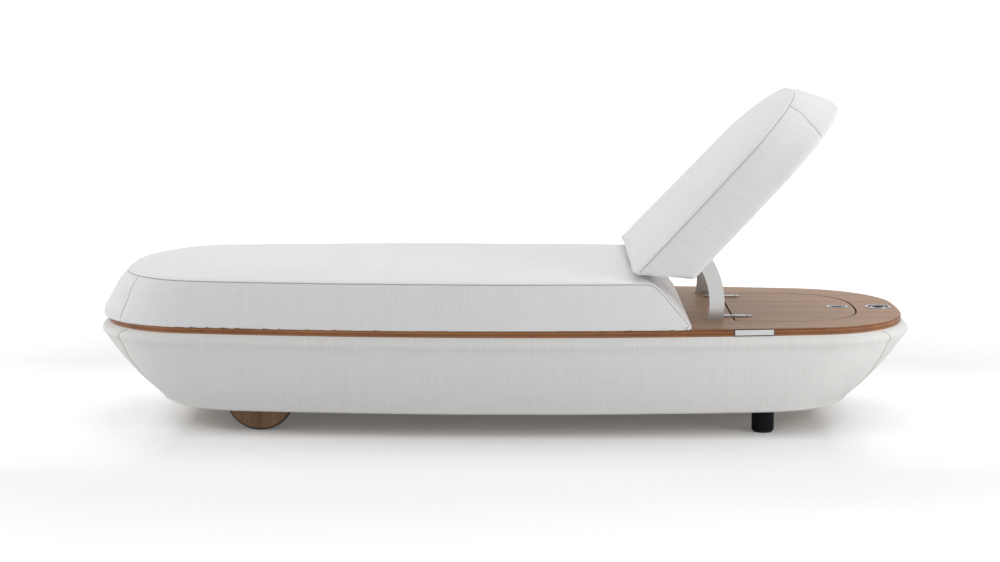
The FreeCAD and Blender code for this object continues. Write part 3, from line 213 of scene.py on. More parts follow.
class Outline:
    """Oblong outline of eight tangent arcs: two ends, two sides and four corners."""

    def __init__(self, reach, half_width, end_radius, corner_radius, side_radius):
        self.sizes = (reach, half_width, end_radius, corner_radius, side_radius)

    def inset(self, end, side):
        change = (end, side, end, side, side)
        return Outline(*[size - step for size, step in zip(self.sizes, change)])

    def towards(self, other, share):
        return Outline(*[a + (b - a) * share for a, b in zip(self.sizes, other.sizes)])

    def runs(self):
        """The arcs as centre, radius, first and last angle, from the head end round by +Y."""
        reach, half_width, end_radius, corner_radius, side_radius = self.sizes
        end_x, side_y = reach - end_radius, half_width - side_radius
        from_end, from_side = end_radius - corner_radius, side_radius - corner_radius
        apart = math.hypot(end_x, side_y)
        along = (from_end ** 2 - from_side ** 2 + apart ** 2) / (2 * apart)
        across = math.sqrt(from_end ** 2 - along ** 2)
        step_x, step_y = -end_x / apart, side_y / apart
        x = end_x + along * step_x - across * step_y
        y = along * step_y + across * step_x
        low, high = math.atan2(y, x - end_x), math.atan2(y - side_y, x)
        half, full = math.pi, 2 * math.pi
        return [
            ((end_x, 0), end_radius, 0, low),
            ((x, y), corner_radius, low, high),
            ((0, side_y), side_radius, high, half - high),
            ((-x, y), corner_radius, half - high, half - low),
            ((-end_x, 0), end_radius, half - low, half + low),
            ((-x, -y), corner_radius, half + low, half + high),
            ((0, -side_y), side_radius, half + high, full - high),
            ((x, -y), corner_radius, full - high, full - low),
            ((end_x, 0), end_radius, full - low, full),
        ]

    def points(self, count):
        """Points an even step apart, from the middle of the head end round by +Y."""
        runs = self.runs()
        lengths = [radius * (last - first) for _, radius, first, last in runs]
        ends = np.cumsum(lengths)
        places = []
        for number in range(count):
            travelled = ends[-1] * number / count
            index = int(np.searchsorted(ends, travelled, side="right"))
            (x, y), radius, first, last = runs[index]
            share = (travelled - (ends[index] - lengths[index])) / lengths[index]
            angle = first + (last - first) * share
            places.append((x + radius * math.cos(angle), y + radius * math.sin(angle)))
        return np.array(places)

    def length(self):
        return sum(radius * (last - first) for _, radius, first, last in self.runs())


DECK = Outline(HALF_LENGTH, HALF_WIDTH, END_RADIUS, CORNER_RADIUS, SIDE_RADIUS)


# Material tools

class Paint:
    """A material and short ways to lay out its nodes."""

    def __init__(self, name, colour, roughness, metallic=0.0):
        self.material = bpy.data.materials.new(name)
        self.material.use_nodes = True
        self.material.diffuse_color = (*colour, 1)
        self.nodes = self.material.node_tree.nodes
        self.links = self.material.node_tree.links
        self.shader = self.nodes["Principled BSDF"]
        self.shader.inputs["Base Color"].default_value = (*colour, 1)
        self.shader.inputs["Roughness"].default_value = roughness
        self.shader.inputs["Metallic"].default_value = metallic

    def add(self, kind, inputs=(), **settings):
        node = self.nodes.new("ShaderNode" + kind)
        for name, value in settings.items():
            setattr(node, name, value)
        for socket, value in dict(inputs).items():
            self.feed(node.inputs[socket], value)
        return node

    def feed(self, socket, value):
        if isinstance(value, bpy.types.NodeSocket):
            self.links.new(value, socket)
        else:
            socket.default_value = value

    def maths(self, operation, first, second=0.0):
        return self.add("Math", {0: first, 1: second}, operation=operation).outputs[0]

    def beyond(self, value, limit):
        """How far a value lies past a limit on either side of zero."""
        past = self.maths("SUBTRACT", self.maths("ABSOLUTE", value), limit)
        return self.maths("MAXIMUM", past, 0.0)

    def attribute(self, name):
        return self.add("Attribute", attribute_name=name).outputs["Fac"]

    def place(self):
        return self.add("TexCoord").outputs["Object"]

    def scaled(self, vector, scale):
        return self.add("Mapping", {"Vector": vector, "Scale": scale}).outputs["Vector"]

    def noise(self, vector, scale=1.0, detail=3.0, roughness=0.5):
        inputs = {"Vector": vector, "Scale": scale, "Detail": detail, "Roughness": roughness}
        return self.add("TexNoise", inputs).outputs["Fac"]

    def ramp(self, share, stops):
        """Colour ramp through (place, colour) stops."""
        node = self.add("ValToRGB", {"Fac": share})
        elements = node.color_ramp.elements
        while len(elements) < len(stops):
            elements.new(0.5)
        for element, (place, colour) in zip(elements, stops):
            element.position = place
            element.color = (*colour, 1)
        return node.outputs["Color"]

    def spread(self, value, low, high):
        """Map 0..1 to a range."""
        inputs = {"Value": value, "To Min": low, "To Max": high}
        return self.add("MapRange", inputs).outputs["Result"]

    def mix(self, share, first, second, blend="MIX"):
        """Mix two colours; the node's colour sockets come after its plain and vector ones."""
        node = self.add("Mix", data_type="RGBA", blend_type=blend)
        self.feed(node.inputs["Factor"], share)
        self.feed(node.inputs[6], first)
        self.feed(node.inputs[7], second)
        return node.outputs[2]

    def shade(self, colour, share):
        """Multiply a colour by a grey share."""
        grey = self.add("CombineColor", {"Red": share, "Green": share, "Blue": share})
        return self.mix(1.0, colour, grey.outputs["Color"], "MULTIPLY")

    def bump(self, height, strength, distance):
        inputs = {"Height": height, "Strength": strength, "Distance": distance}
        node = self.add("Bump", inputs)
        self.links.new(node.outputs["Normal"], self.shader.inputs["Normal"])

    def colour(self, socket):
        self.links.new(socket, self.shader.inputs["Base Color"])

    def roughness(self, socket):
        self.links.new(socket, self.shader.inputs["Roughness"])


def fabric(name, colour, streak=1.0):
    """Woven outdoor linen: crossing yarns of uneven thickness, with a soft sheen."""
    paint = Paint(name, colour, 0.86)
    u, v = paint.attribute("weave_u"), paint.attribute("weave_v")
    wide = paint.add("CombineXYZ", {"X": u, "Y": v}).outputs["Vector"]
    wander = paint.noise(paint.scaled(wide, (30, 30, 1)), 1.0, 2.0)
    drift = paint.spread(wander, -0.35, 0.35)
    across = paint.maths("ADD", paint.maths("MULTIPLY", u, 1 / YARN), drift)
    down = paint.maths("ADD", paint.maths("MULTIPLY", v, 1 / YARN), drift)
    warp = paint.maths("ABSOLUTE", paint.maths("SINE", paint.maths("MULTIPLY", across, math.pi)))
    weft = paint.maths("ABSOLUTE", paint.maths("SINE", paint.maths("MULTIPLY", down, math.pi)))
    parity = paint.maths("ADD", paint.maths("FLOOR", across), paint.maths("FLOOR", down))
    over = paint.maths("PINGPONG", parity, 1.0)
    under = paint.maths("SUBTRACT", 1.0, over)
    raised_warp = paint.maths("MULTIPLY", warp, paint.maths("ADD", over, 0.35))
    raised_weft = paint.maths("MULTIPLY", weft, paint.maths("ADD", under, 0.35))
    weave = paint.maths("MAXIMUM", raised_warp, raised_weft)
    upright = paint.noise(paint.scaled(wide, (430, 9, 1)), 1.0, 2.0, 0.6)
    level = paint.noise(paint.scaled(wide, (9, 430, 1)), 1.0, 2.0, 0.6)
    slubs = paint.noise(paint.scaled(wide, (150, 4, 1)), 1.0, 2.0, 0.5)
    cloud = paint.noise(paint.scaled(wide, (3, 3, 1)), 1.0, 3.0, 0.5)
    tone = paint.maths("ADD", paint.spread(upright, 1 - 0.08 * streak, 1 + 0.06 * streak),
                       paint.spread(level, -0.05 * streak, 0.04 * streak))
    tone = paint.maths("ADD", tone, paint.spread(slubs, -0.03 * streak, 0.03 * streak))
    tone = paint.maths("ADD", tone, paint.spread(weave, -0.035, 0.03))
    tone = paint.maths("ADD", tone, paint.spread(cloud, -0.02, 0.02))
    cloth = paint.shade((*colour, 1), tone)
    # Painted shade: beside the seams the cloth is mixed towards a darker tan, for the shade in
    # the seam groove
    seam = paint.attribute("seam")
    painted_shade_line = tuple(share * channel for share, channel in zip((0.52, 0.47, 0.41), colour))
    paint.colour(paint.mix(seam, cloth, (*painted_shade_line, 1)))
    height = paint.maths("ADD", paint.maths("MULTIPLY", weave, 0.5),
                         paint.maths("MULTIPLY", upright, 0.6 * streak))
    height = paint.maths("ADD", height, paint.maths("MULTIPLY", level, 0.4 * streak))
    paint.bump(height, 0.55, WEAVE_RELIEF)
    paint.roughness(paint.spread(slubs, 0.8, 0.92))
    paint.shader.inputs["Sheen Weight"].default_value = 0.18
    paint.shader.inputs["Sheen Roughness"].default_value = 0.45
    paint.shader.inputs["Specular IOR Level"].default_value = 0.25
    return paint.material


def timber(name, pale, mid, dark, along, plies=0.0, gloss=0.42):
    """Oiled timber with its grain along one axis, pores, and fine plies on its edges."""
    paint = Paint(name, mid, gloss)
    place = paint.place()
    axis = "xyz".index(along)
    stretch, pore_stretch = [26.0] * 3, [572.0] * 3
    stretch[axis], pore_stretch[axis] = 1.3, 1.56
    warp = paint.noise(paint.scaled(place, [s * 0.22 for s in stretch]), 1.0, 2.0)
    figure = paint.noise(paint.scaled(place, stretch), 1.0, 6.0, 0.62)
    fibre = paint.noise(paint.scaled(place, [s * 9 for s in stretch]), 1.0, 3.0, 0.6)
    share = paint.maths("ADD", paint.maths("MULTIPLY", figure, 0.62),
                        paint.maths("MULTIPLY", warp, 0.2))
    share = paint.maths("ADD", share, paint.maths("MULTIPLY", fibre, 0.2))
    tone = paint.ramp(share, [(0.34, dark), (0.5, mid), (0.66, pale)])
    pores = paint.noise(paint.scaled(place, pore_stretch), 1.0, 2.0)
    pits = paint.ramp(pores, [(0.33, (0.62, 0.58, 0.55)), (0.42, (1, 1, 1))])
    tone = paint.mix(0.7, tone, pits, "MULTIPLY")
    height = paint.maths("ADD", paint.maths("MULTIPLY", fibre, 0.5), pores)
    if plies:
        facing = paint.add("SeparateXYZ", {"Vector": paint.add("TexCoord").outputs["Normal"]})
        upright = paint.maths("LESS_THAN", paint.maths("ABSOLUTE", facing.outputs["Z"]), 0.5)
        depth = paint.add("SeparateXYZ", {"Vector": place}).outputs["Z"]
        layer = paint.maths("SUBTRACT", depth, DECK_BOTTOM)
        wave = paint.maths("SINE", paint.maths("MULTIPLY", layer, 2 * math.pi / plies))
        lines = paint.ramp(wave, [(0.0, (0.66, 0.6, 0.54)), (0.35, (1.0, 0.98, 0.95)),
                                  (1.0, (1.08, 1.04, 1.0))])
        edge = paint.mix(1.0, tone, lines, "MULTIPLY")
        warmth = paint.mix(1.0, edge, (0.86, 0.63, 0.43, 1), "MULTIPLY")
        tone = paint.mix(upright, tone, warmth)
    paint.colour(tone)
    paint.bump(height, 0.22, GRAIN_RELIEF)
    paint.roughness(paint.spread(figure, gloss - 0.06, gloss + 0.1))
    paint.shader.inputs["Specular IOR Level"].default_value = 0.32
    return paint.material


def metal(name, colour, roughness, brushed=(1, 1, 1), depth=0.12):
    """Steel with fine brushing along one direction and faint wear."""
    paint = Paint(name, colour, roughness, 1.0)
    place = paint.place()
    lines = paint.noise(paint.scaled(place, [900.0 * share for share in brushed]), 1.0, 3.0)
    smudge = paint.noise(place, 14.0, 3.0)
    paint.colour(paint.shade((*colour, 1), paint.spread(lines, 0.9, 1.06)))
    rough = paint.maths("ADD", paint.spread(lines, roughness - 0.06, roughness + 0.08),
                        paint.spread(smudge, -0.04, 0.06))
    paint.roughness(rough)
    paint.bump(lines, depth, BRUSH_RELIEF)
    return paint.material


def moulded(name, colour, roughness, grain=900.0, depth=0.15, specular=0.5):
    """Moulded plastic, rubber or paint with a fine grain and faint clouding."""
    paint = Paint(name, colour, roughness)
    place = paint.place()
    pebbles = paint.noise(place, grain, 2.0)
    cloud = paint.noise(place, 9.0, 3.0)
    paint.colour(paint.shade((*colour, 1), paint.spread(cloud, 0.88, 1.1)))
    paint.roughness(paint.spread(pebbles, roughness - 0.08, roughness + 0.08))
    paint.bump(pebbles, depth, PEBBLE_RELIEF)
    paint.shader.inputs["Specular IOR Level"].default_value = specular
    return paint.material


CUSHION_FABRIC = fabric("cushion_fabric_weave", (0.8, 0.8, 0.805))
# The welt's cloth is paler than the cushion's: a painted highlight along the raised welt
PALE_WELT_PAINTED_HIGHLIGHT = fabric("welt_fabric_painted_highlight", (0.9, 0.895, 0.885), 0.6)
HULL_FABRIC = fabric("hull_fabric_weave", (0.78, 0.775, 0.76), 1.15)
# Dark tan cords laid in the seams are painted shade: they stand for the shade line in each seam's
# groove
SEAM_SHADE_CORD = moulded("seam_thread_tan", (0.34, 0.29, 0.23), 0.85, 400.0, 0.3)
DECK_WOOD = timber("deck_wood_grain", (0.44, 0.27, 0.155), (0.335, 0.19, 0.103),
                   (0.2, 0.105, 0.055), "x", plies=DECK_PLY)
WHEEL_WOOD = timber("wheel_wood_grain", (0.33, 0.19, 0.1), (0.23, 0.125, 0.066),
                    (0.12, 0.06, 0.032), "z")
PLYWOOD = timber("birch_plywood", (0.6, 0.45, 0.28), (0.5, 0.36, 0.21), (0.36, 0.24, 0.13), "x",
                 plies=PLYWOOD_PLY, gloss=0.55)
SATIN_STEEL = metal("satin_steel_brushed", (0.52, 0.52, 0.51), 0.22, (1, 1, 0.04), 0.08)
POLISHED_STEEL = metal("polished_steel_worn", (0.36, 0.37, 0.39), 0.2, (0.05, 1, 1), 0.05)
PLATE_STEEL = metal("name_plate_steel", (0.55, 0.55, 0.555), 0.32, (0.03, 1, 1), 0.08)
ZINC_STEEL = metal("zinc_steel_dull", (0.55, 0.56, 0.57), 0.42)
BRASS = metal("bush_brass_worn", (0.72, 0.5, 0.22), 0.35)
FRAME_PAINT = moulded("frame_paint_grey", (0.09, 0.095, 0.1), 0.5)
SHELL_PLASTIC = moulded("shell_plastic_white", (0.62, 0.62, 0.61), 0.45)
BIN_PLASTIC = moulded("bin_plastic_grey", (0.11, 0.11, 0.115), 0.5)
FOOT_PLASTIC = moulded("foot_plastic_black", (0.006, 0.006, 0.007), 0.5, specular=0.08)
DARK_RUBBER = moulded("rubber_black", (0.014, 0.014, 0.014), 0.7, 500.0)
GUIDE_PLASTIC = moulded("guide_plastic_pale", (0.5, 0.5, 0.48), 0.4)
STRIP_FABRIC = moulded("strip_hooks_white", (0.6, 0.6, 0.58), 0.9, 400.0, 0.6)

NODE_MATERIALS = {
    "hull_shell": SHELL_PLASTIC, "bottom_board": PLYWOOD, "hull_frame": FRAME_PAINT,
    "deck_board": DECK_WOOD, "lid_board": DECK_WOOD, "storage_bin": BIN_PLASTIC,
    "lid_pull_cup": POLISHED_STEEL, "lid_pull_ring": POLISHED_STEEL,
    "lift_cup": POLISHED_STEEL, "lift_ring": POLISHED_STEEL, "name_plate": PLATE_STEEL,
    "mattress_strips": STRIP_FABRIC, "backrest_board": PLYWOOD, "arm_screws": ZINC_STEEL,
    "arm_tie_bar": ZINC_STEEL, "wheel_axle": ZINC_STEEL, "wheel_spacers": GUIDE_PLASTIC,
    "axle_clips": ZINC_STEEL, "foot_bolts": ZINC_STEEL,
}
for word in ("left", "right"):
    NODE_MATERIALS.update({
        "hinge_deck_leaf_" + word: POLISHED_STEEL, "hinge_lid_leaf_" + word: POLISHED_STEEL,
        "hinge_pin_" + word: ZINC_STEEL, "arm_" + word: SATIN_STEEL,
        "arm_guide_" + word: GUIDE_PLASTIC, "brake_pad_" + word: DARK_RUBBER,
        "brake_plug_" + word: GUIDE_PLASTIC, "wheel_disc_" + word: WHEEL_WOOD,
        "wheel_tyre_" + word: DARK_RUBBER, "wheel_bush_" + word: BRASS,
        "wheel_housing_" + word: ZINC_STEEL, "foot_" + word: FOOT_PLASTIC,
        "foot_glide_" + word: DARK_RUBBER,
    })


def dress_nodes():
    """Give each CAD piece its material, and soften the edges of some."""
    for name, material in NODE_MATERIALS.items():
        mesh = NODES[name].data
        mesh.materials.clear()
        mesh.materials.append(material)
    for word in ("left", "right"):
        for name in ("arm_", "foot_", "hinge_deck_leaf_", "hinge_lid_leaf_"):
            bevelled(name + word, PLATE_EDGE)
    for name in ("lid_pull_ring", "lift_ring"):
        bevelled(name, RING_EDGE, 3)
    for name in ("lid_pull_cup", "lift_cup", "name_plate"):
        bevelled(name, FINE_EDGE)


# Seams

def tube(name, path, radius, material):
    """Round cord that follows a path, with its length and girth kept for the weave."""
    last = len(path) - 1
    vertices, along = [], []
    travelled = 0.0
    side = None
    for number, point in enumerate(path):
        ahead = (path[min(number + 1, last)] - path[max(number - 1, 0)]).normalized()
        if side is None:
            side = ahead.orthogonal().normalized()
        side = (side - ahead * side.dot(ahead)).normalized()
        other = ahead.cross(side)
        if number:
            travelled += (point - path[number - 1]).length
        for turn in range(CORD_SIDES):
            angle = 2 * math.pi * turn / CORD_SIDES
            vertices.append(point + (side * math.cos(angle) + other * math.sin(angle)) * radius)
            along.append((travelled, radius * angle))
    faces = ring_faces(len(path), CORD_SIDES)
    faces.append(tuple(reversed(range(CORD_SIDES))))
    faces.append(tuple(range(last * CORD_SIDES, len(path) * CORD_SIDES)))
    item = new_piece(name, vertices, faces, material)
    write_attribute(item.data, "weave_u", [place[0] for place in along])
    write_attribute(item.data, "weave_v", [place[1] for place in along])
    write_attribute(item.data, "seam", [0.0] * len(along))
    return item


def lay_cord(name, path, surface, material, body, radius):
    """Thin cord lying in its groove on a surface: a welt, or a dark cord of painted shade along a
    seam.
    """
    seated = []
    for point in path:
        place, normal, _, _ = surface.find_nearest(point)
        seated.append(place + normal * radius * CORD_SEAT_SHARE)
    cord = tube(name, seated, radius, material)
    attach(cord, body)


def beside(path, surface, distance):
    """The path moved sideways over a surface, to the left of its direction."""
    moved = []
    for number, point in enumerate(path):
        ahead = path[min(number + 1, len(path) - 1)] - path[max(number - 1, 0)]
        normal = surface.find_nearest(point)[1]
        moved.append(point + normal.cross(ahead).normalized() * distance)
    return moved


def write_seam_painted_shade(mesh, apart):
    """Paint shade on the cloth beside its seams, by the distance from them, for the shade in the
    seam groove.
    """
    write_attribute(mesh, "seam", np.exp(-(apart / SEAM_SHADE_REACH) ** 2) * SEAM_SHADE_SHARE)


# Hull cover

COVER_AROUND = 1440
COVER_DOWN = 52
COVER_DOWN_INSIDE = 5
HULL_SEAM_TOP_Y = 262 * MM
HULL_SEAM_BASE_Y = 118 * MM
HULL_SEAM_DEPTH = 1.44 * MM
HULL_SEAM_REACH = 5.85 * MM
HULL_SEAM_POWER = 0.8
HULL_DRAWN_IN = 0.5 * MM
HULL_WANDER = 0.7 * MM


def hull_rings():
    """Outlines and heights of the hull, from its base to its rim under the deck."""
    base = Outline(HALF_LENGTH - BASE_END_SETBACK, HALF_WIDTH - BASE_SIDE_SETBACK,
                   END_RADIUS - BASE_END_SETBACK, BASE_CORNER_RADIUS, SIDE_RADIUS)
    slope_top = DECK.inset(-LIP_END_SWELL, LIP_SIDE_SETBACK)
    lip_start = DECK_BOTTOM - LIP_HEIGHT
    rings = []
    for angle in (90, 60, 30):
        turn = math.radians(angle)
        share = 1 - math.cos(turn)
        tucked = base.inset(BASE_TUCK_END * share, BASE_TUCK_SIDE * share)
        rings.append((tucked, HULL_BOTTOM + BASE_ROUND * (1 - math.sin(turn))))
    start = HULL_BOTTOM + BASE_ROUND
    for rise, share in SLOPE_RING_SHARES:
        rings.append((base.towards(slope_top, share), start + (lip_start - start) * rise))
    bulged = slope_top.inset(-LIP_BULGE, -LIP_BULGE)
    rim = DECK.inset(RIM_INSET, RIM_INSET)
    for rise, swell in LIP_RING_SHARES:
        rings.append((rim.towards(bulged, swell), lip_start + LIP_HEIGHT * rise))
    return rings


def smooth_rows(rows, count):
    """Rows of numbers interpolated by a smooth curve through them, evenly along it."""
    rows = np.array(rows)
    reach_width_height = rows[:, [0, 1, 5]]
    steps = np.sqrt(np.linalg.norm(np.diff(reach_width_height, axis=0), axis=1))
    knots = np.concatenate([[0], np.cumsum(steps)])
    slopes = np.gradient(rows, knots, axis=0)
    fine = []
    for place in np.linspace(0, knots[-1], count):
        index = min(int(np.searchsorted(knots, place, side="right")) - 1, len(knots) - 2)
        width = knots[index + 1] - knots[index]
        t = (place - knots[index]) / width
        fine.append(rows[index] * (2 * t ** 3 - 3 * t ** 2 + 1)
                    + slopes[index] * width * (t ** 3 - 2 * t ** 2 + t)
                    + rows[index + 1] * (3 * t ** 2 - 2 * t ** 3)
                    + slopes[index + 1] * width * (t ** 3 - t ** 2))
    return fine


def cover_grid(inset, down):
    """Points of the hull's surface, drawn in by a distance, as rows from base to rim."""
    rows = [(*outline.inset(inset, inset).sizes, height) for outline, height in hull_rings()]
    grid = []
    for row in smooth_rows(rows, down):
        places = Outline(*row[:5]).points(COVER_AROUND)
        grid.append(np.column_stack([places, np.full(COVER_AROUND, row[5])]))
    return np.array(grid)


def hull_seam(grid, end, side):
    """Curved seam near one end of the hull, on one side, wider apart at the rim."""
    path = []
    for row in grid[2:-1]:
        height = (row[0][2] - HULL_BOTTOM) / (DECK_BOTTOM - HULL_BOTTOM)
        y = HULL_SEAM_BASE_Y + (HULL_SEAM_TOP_Y - HULL_SEAM_BASE_Y) * height ** HULL_SEAM_POWER
        half = row[(row[:, 0] * end > 0) & (row[:, 1] * side > 0)]
        half = half[np.argsort(half[:, 1] * side)]
        ends = half[np.abs(half[:, 0]) > abs(half[0][0]) * 0.6]
        x = np.interp(y, ends[:, 1] * side, ends[:, 0])
        path.append(Vector((x, y * side, row[0][2])))
    return resampled(path)


def sew_cover(cover, points, seams):
    """Draw the outside in along its seams, with a slow wander, and keep its two borders."""
    shown = COVER_DOWN * COVER_AROUND
    apart = np.full(len(points), 1.0)
    apart[:shown] = distances(points[:shown], [p for path in seams for p in path])
    pull = np.exp(-(apart / HULL_SEAM_REACH) ** 2) * HULL_SEAM_DEPTH
    for index in range(shown):
        x, y, z = points[index]
        pull[index] += HULL_DRAWN_IN - noise.noise(Vector((x * 5, y * 5, z * 9))) * HULL_WANDER
    for row, share in ((0, 0.0), (1, 0.5), (COVER_DOWN - 1, 0.0), (COVER_DOWN - 2, 0.5)):
        pull[row * COVER_AROUND:(row + 1) * COVER_AROUND] *= share
    write_points(cover.data, points - read_normals(cover.data) * pull[:, None])
    return apart


def weave_cover(cover, rows, points, seams):
    """Yarn directions: along the sides or across the ends, and up the hull."""
    limits = [abs(seams[0][0].x), abs(seams[0][-1].x)]
    seam_x = np.interp(points[:, 2], [HULL_BOTTOM, DECK_BOTTOM], sorted(limits))
    level = np.where(np.abs(points[:, 0]) < seam_x, points[:, 0], points[:, 1])
    write_attribute(cover.data, "weave_u", level)
    steps = [np.linalg.norm(after[0] - before[0]) for before, after in zip(rows, rows[1:])]
    girths = np.concatenate([[0], np.cumsum(steps)])
    write_attribute(cover.data, "weave_v", np.repeat(girths, COVER_AROUND))


def make_hull_cover():
    outside = cover_grid(0, COVER_DOWN)
    inside = cover_grid(COVER_THICKNESS, COVER_DOWN_INSIDE)
    seams = [hull_seam(outside, end, side) for end in (-1, 1) for side in (-1, 1)]
    rows = list(outside) + list(inside[::-1])
    points = np.concatenate(rows)
    faces = ring_faces(len(rows), COVER_AROUND, closed=True)
    cover = new_piece("hull_cover_fabric", points, faces, HULL_FABRIC)
    apart = sew_cover(cover, points, seams)
    weave_cover(cover, rows, points, seams)
    # Painted shade on the hull's cloth beside its seams
    write_seam_painted_shade(cover.data, apart)
    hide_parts("hull_cover")
    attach(cover, "base")
    surface = BVHTree.FromObject(cover, bpy.context.evaluated_depsgraph_get())
    # Dark cords along the hull's seams: painted shade lines
    for number, path in enumerate(seams):
        lay_cord("hull_seam_{}".format(number + 1), path, surface, SEAM_SHADE_CORD,
                 "base", SHADE_CORD_RADIUS)


# Cushions: points of their outlines and seams, and their softness

RING_POINTS = 1600
SEAM_RING_POINTS = 1400
PROFILE_RING_POINTS = 900
CORNER_STEPS = 10
FACE_STEPS = 12
PANEL_STEPS = 24
VOXEL = 6 * MM
WELD_REACH = 0.01 * MM
CLOTH_FRAMES = 20
PIN_REACH = 7 * MM
DRAWN_IN = 1.2 * MM
PILLOW_RISE = 5 * MM
PILLOW_REACH = 45 * MM
UNDERSIDE_HEIGHT = 17 * MM
FOLD_HEIGHT = 2 * MM
FOLD_MARGIN = 4 * MM
SLOW_WANDER = 0.9 * MM
QUICK_WANDER = 0.3 * MM
FACE_REACH = 9 * MM
TOP_MARGIN = 1 * MM

# Sag of the mattress: heights at rest and pressed flat, and the drop at places along it
SAG_HEIGHTS = (-3 * MM, 0.0, 6 * MM, 20 * MM)
SAG_PRESSED = (-0.5 * MM, 0.0, 1.5 * MM, 20 * MM)
SAG_PLACES = (-1.09, -0.95, -0.42, 0.0, 0.6)
SAG_DROPS = (8 * MM, 6.5 * MM, 6.5 * MM, 5 * MM, 4.5 * MM)
SAG_OUTWARD = 2.2 * MM
SAG_RUN = 5 * MM


class Cushion:
    """A cushion lying flat, from its round end (way -1: foot, 1: head) to a slanting face."""

    def __init__(self, node, body, bottom, way):
        self.node, self.body, self.bottom, self.way = node, body, bottom, way
        self.seam_z = bottom + CUSHION_HEIGHT

    def spread(self, end_overhang, end_run, panel_low_y, panel_top_y):
        """How far the round end reaches, how its side leans, and where its end panel lies."""
        self.outline = DECK.inset(-end_overhang, -CUSHION_SIDE_OVERHANG)
        self.end_run, self.panel_low_y, self.panel_top_y = end_run, panel_low_y, panel_top_y

    def trim(self, distance, angle, turn, hook):
        """End face: its distance from the axis and slant, and its seam's turn and hook."""
        self.distance, self.angle = distance, math.radians(angle)
        self.turn, self.hook = turn, hook

    def ring(self, rise):
        """Outline at a share of the height up to the seam."""
        return self.outline.inset(self.end_run * rise, CUSHION_SIDE_RUN * rise)

    def face_x(self, z):
        """X of the slanting end face at a height."""
        drop = (z - AXIS.z) * math.sin(self.angle)
        return AXIS.x + (self.distance - drop) / math.cos(self.angle)


MATTRESS = Cushion("mattress_cushion", "base", MATTRESS_BOTTOM, -1)
MATTRESS.spread(end_overhang=13 * MM, end_run=66 * MM, panel_low_y=254 * MM, panel_top_y=230 * MM)
MATTRESS.trim(distance=77 * MM, angle=41, turn=28 * MM, hook=13 * MM)
BACKREST = Cushion("backrest_cushion", "backrest", DECK_TOP + BACKREST_GAP, 1)
BACKREST.spread(end_overhang=23 * MM, end_run=51 * MM, panel_low_y=272 * MM, panel_top_y=205 * MM)
BACKREST.trim(distance=97 * MM, angle=39, turn=9 * MM, hook=0)
RAISE = (Matrix.Translation(AXIS) @ Matrix.Rotation(BACKREST_RAISE, 4, Vector((0, -1, 0)))
         @ Matrix.Translation(-AXIS))


def bend(start, corner, end):
    """Curve that rounds a corner between two points."""
    places = []
    for step in range(CORNER_STEPS + 1):
        t = step / CORNER_STEPS
        places.append(start * (1 - t) ** 2 + corner * 2 * t * (1 - t) + end * t ** 2)
    return places


def main_seam(cushion):
    """Seam round the top of a cushion, turned down along its slanting end face, lying flat."""
    seam_z, way = cushion.seam_z, cushion.way
    outline = cushion.ring(1).points(SEAM_RING_POINTS)
    edge = cushion.face_x(seam_z) + SEAM_MARGIN * way
    start_x = edge + cushion.turn * way
    keep = [Vector((x, y, seam_z)) for x, y in outline if (x - start_x) * way > 0]
    if way > 0:
        split = next(n for n, p in enumerate(keep) if p.y < 0)
        keep = keep[split:] + keep[:split]
    else:
        keep = keep[::-1]
    low_z = cushion.bottom + SEAM_MARGIN
    foot = Vector((cushion.face_x(low_z) + SEAM_MARGIN * way, 0, low_z))
    corner = Vector((edge, 0, seam_z))
    up = (corner - foot).normalized()
    leave = corner - up * cushion.turn
    start = foot + up * SEAM_MARGIN
    hook = [start]
    if cushion.hook:
        along = Vector((way, 0, 0))
        hook = [foot + along * cushion.hook] + bend(foot + along * SEAM_MARGIN, foot, start)
    down = hook + [start + (leave - start) * step / FACE_STEPS for step in range(1, FACE_STEPS)]
    profile = down + bend(leave, corner, Vector((start_x, 0, seam_z)))
    near = [Vector((p.x, side_y(cushion, p), p.z)) for p in profile]
    far = [Vector((p.x, -p.y, p.z)) for p in reversed(near)]
    return resampled(near + keep + far)


def side_y(cushion, place):
    """Y of the cushion's left side near a place on its profile."""
    rise = (place.z - cushion.bottom) / CUSHION_HEIGHT
    ring = cushion.ring(rise).points(PROFILE_RING_POINTS)
    left = ring[ring[:, 1] < -HALF_WIDTH * 0.5]
    return float(np.interp(place.x, left[:, 0], left[:, 1]))


def end_x(cushion, rise, y):
    """Distance along X to the cushion's round end at a height share and a distance aside."""
    ring = cushion.ring(rise).points(PROFILE_RING_POINTS)
    end = ring[(ring[:, 0] > HALF_LENGTH / 2) & (ring[:, 1] >= 0)]
    return float(np.interp(y, end[:, 1], end[:, 0]))


def panel_seam(cushion, side):
    """Short upright seam between the end panel and a side panel at the round end."""
    path = []
    low_z = cushion.bottom + SEAM_MARGIN
    for step in range(PANEL_STEPS + 1):
        rise = step / PANEL_STEPS
        z = low_z + (cushion.seam_z - low_z) * rise
        y = cushion.panel_low_y + (cushion.panel_top_y - cushion.panel_low_y) * rise
        path.append(Vector((end_x(cushion, rise, y) * cushion.way, y * side, z)))
    return path


def remeshed(name, cushion):
    """Even quad mesh of a cushion's CAD solid, smoothed and laid flat."""
    mesh = NODES[cushion.node].data.copy()
    mesh.materials.clear()
    item = bpy.data.objects.new(name, mesh)
    SCENE.collection.objects.link(item)
    if cushion.body == "backrest":
        mesh.transform(RAISE.inverted())
    weld = item.modifiers.new("weld", "WELD")
    weld.merge_threshold = WELD_REACH
    grid = item.modifiers.new("grid", "REMESH")
    grid.mode = "VOXEL"
    grid.voxel_size = VOXEL
    grid.use_smooth_shade = True
    soft = item.modifiers.new("soft", "SMOOTH")
    soft.factor = 0.5
    soft.iterations = 3
    apply_modifiers(item)
    return item


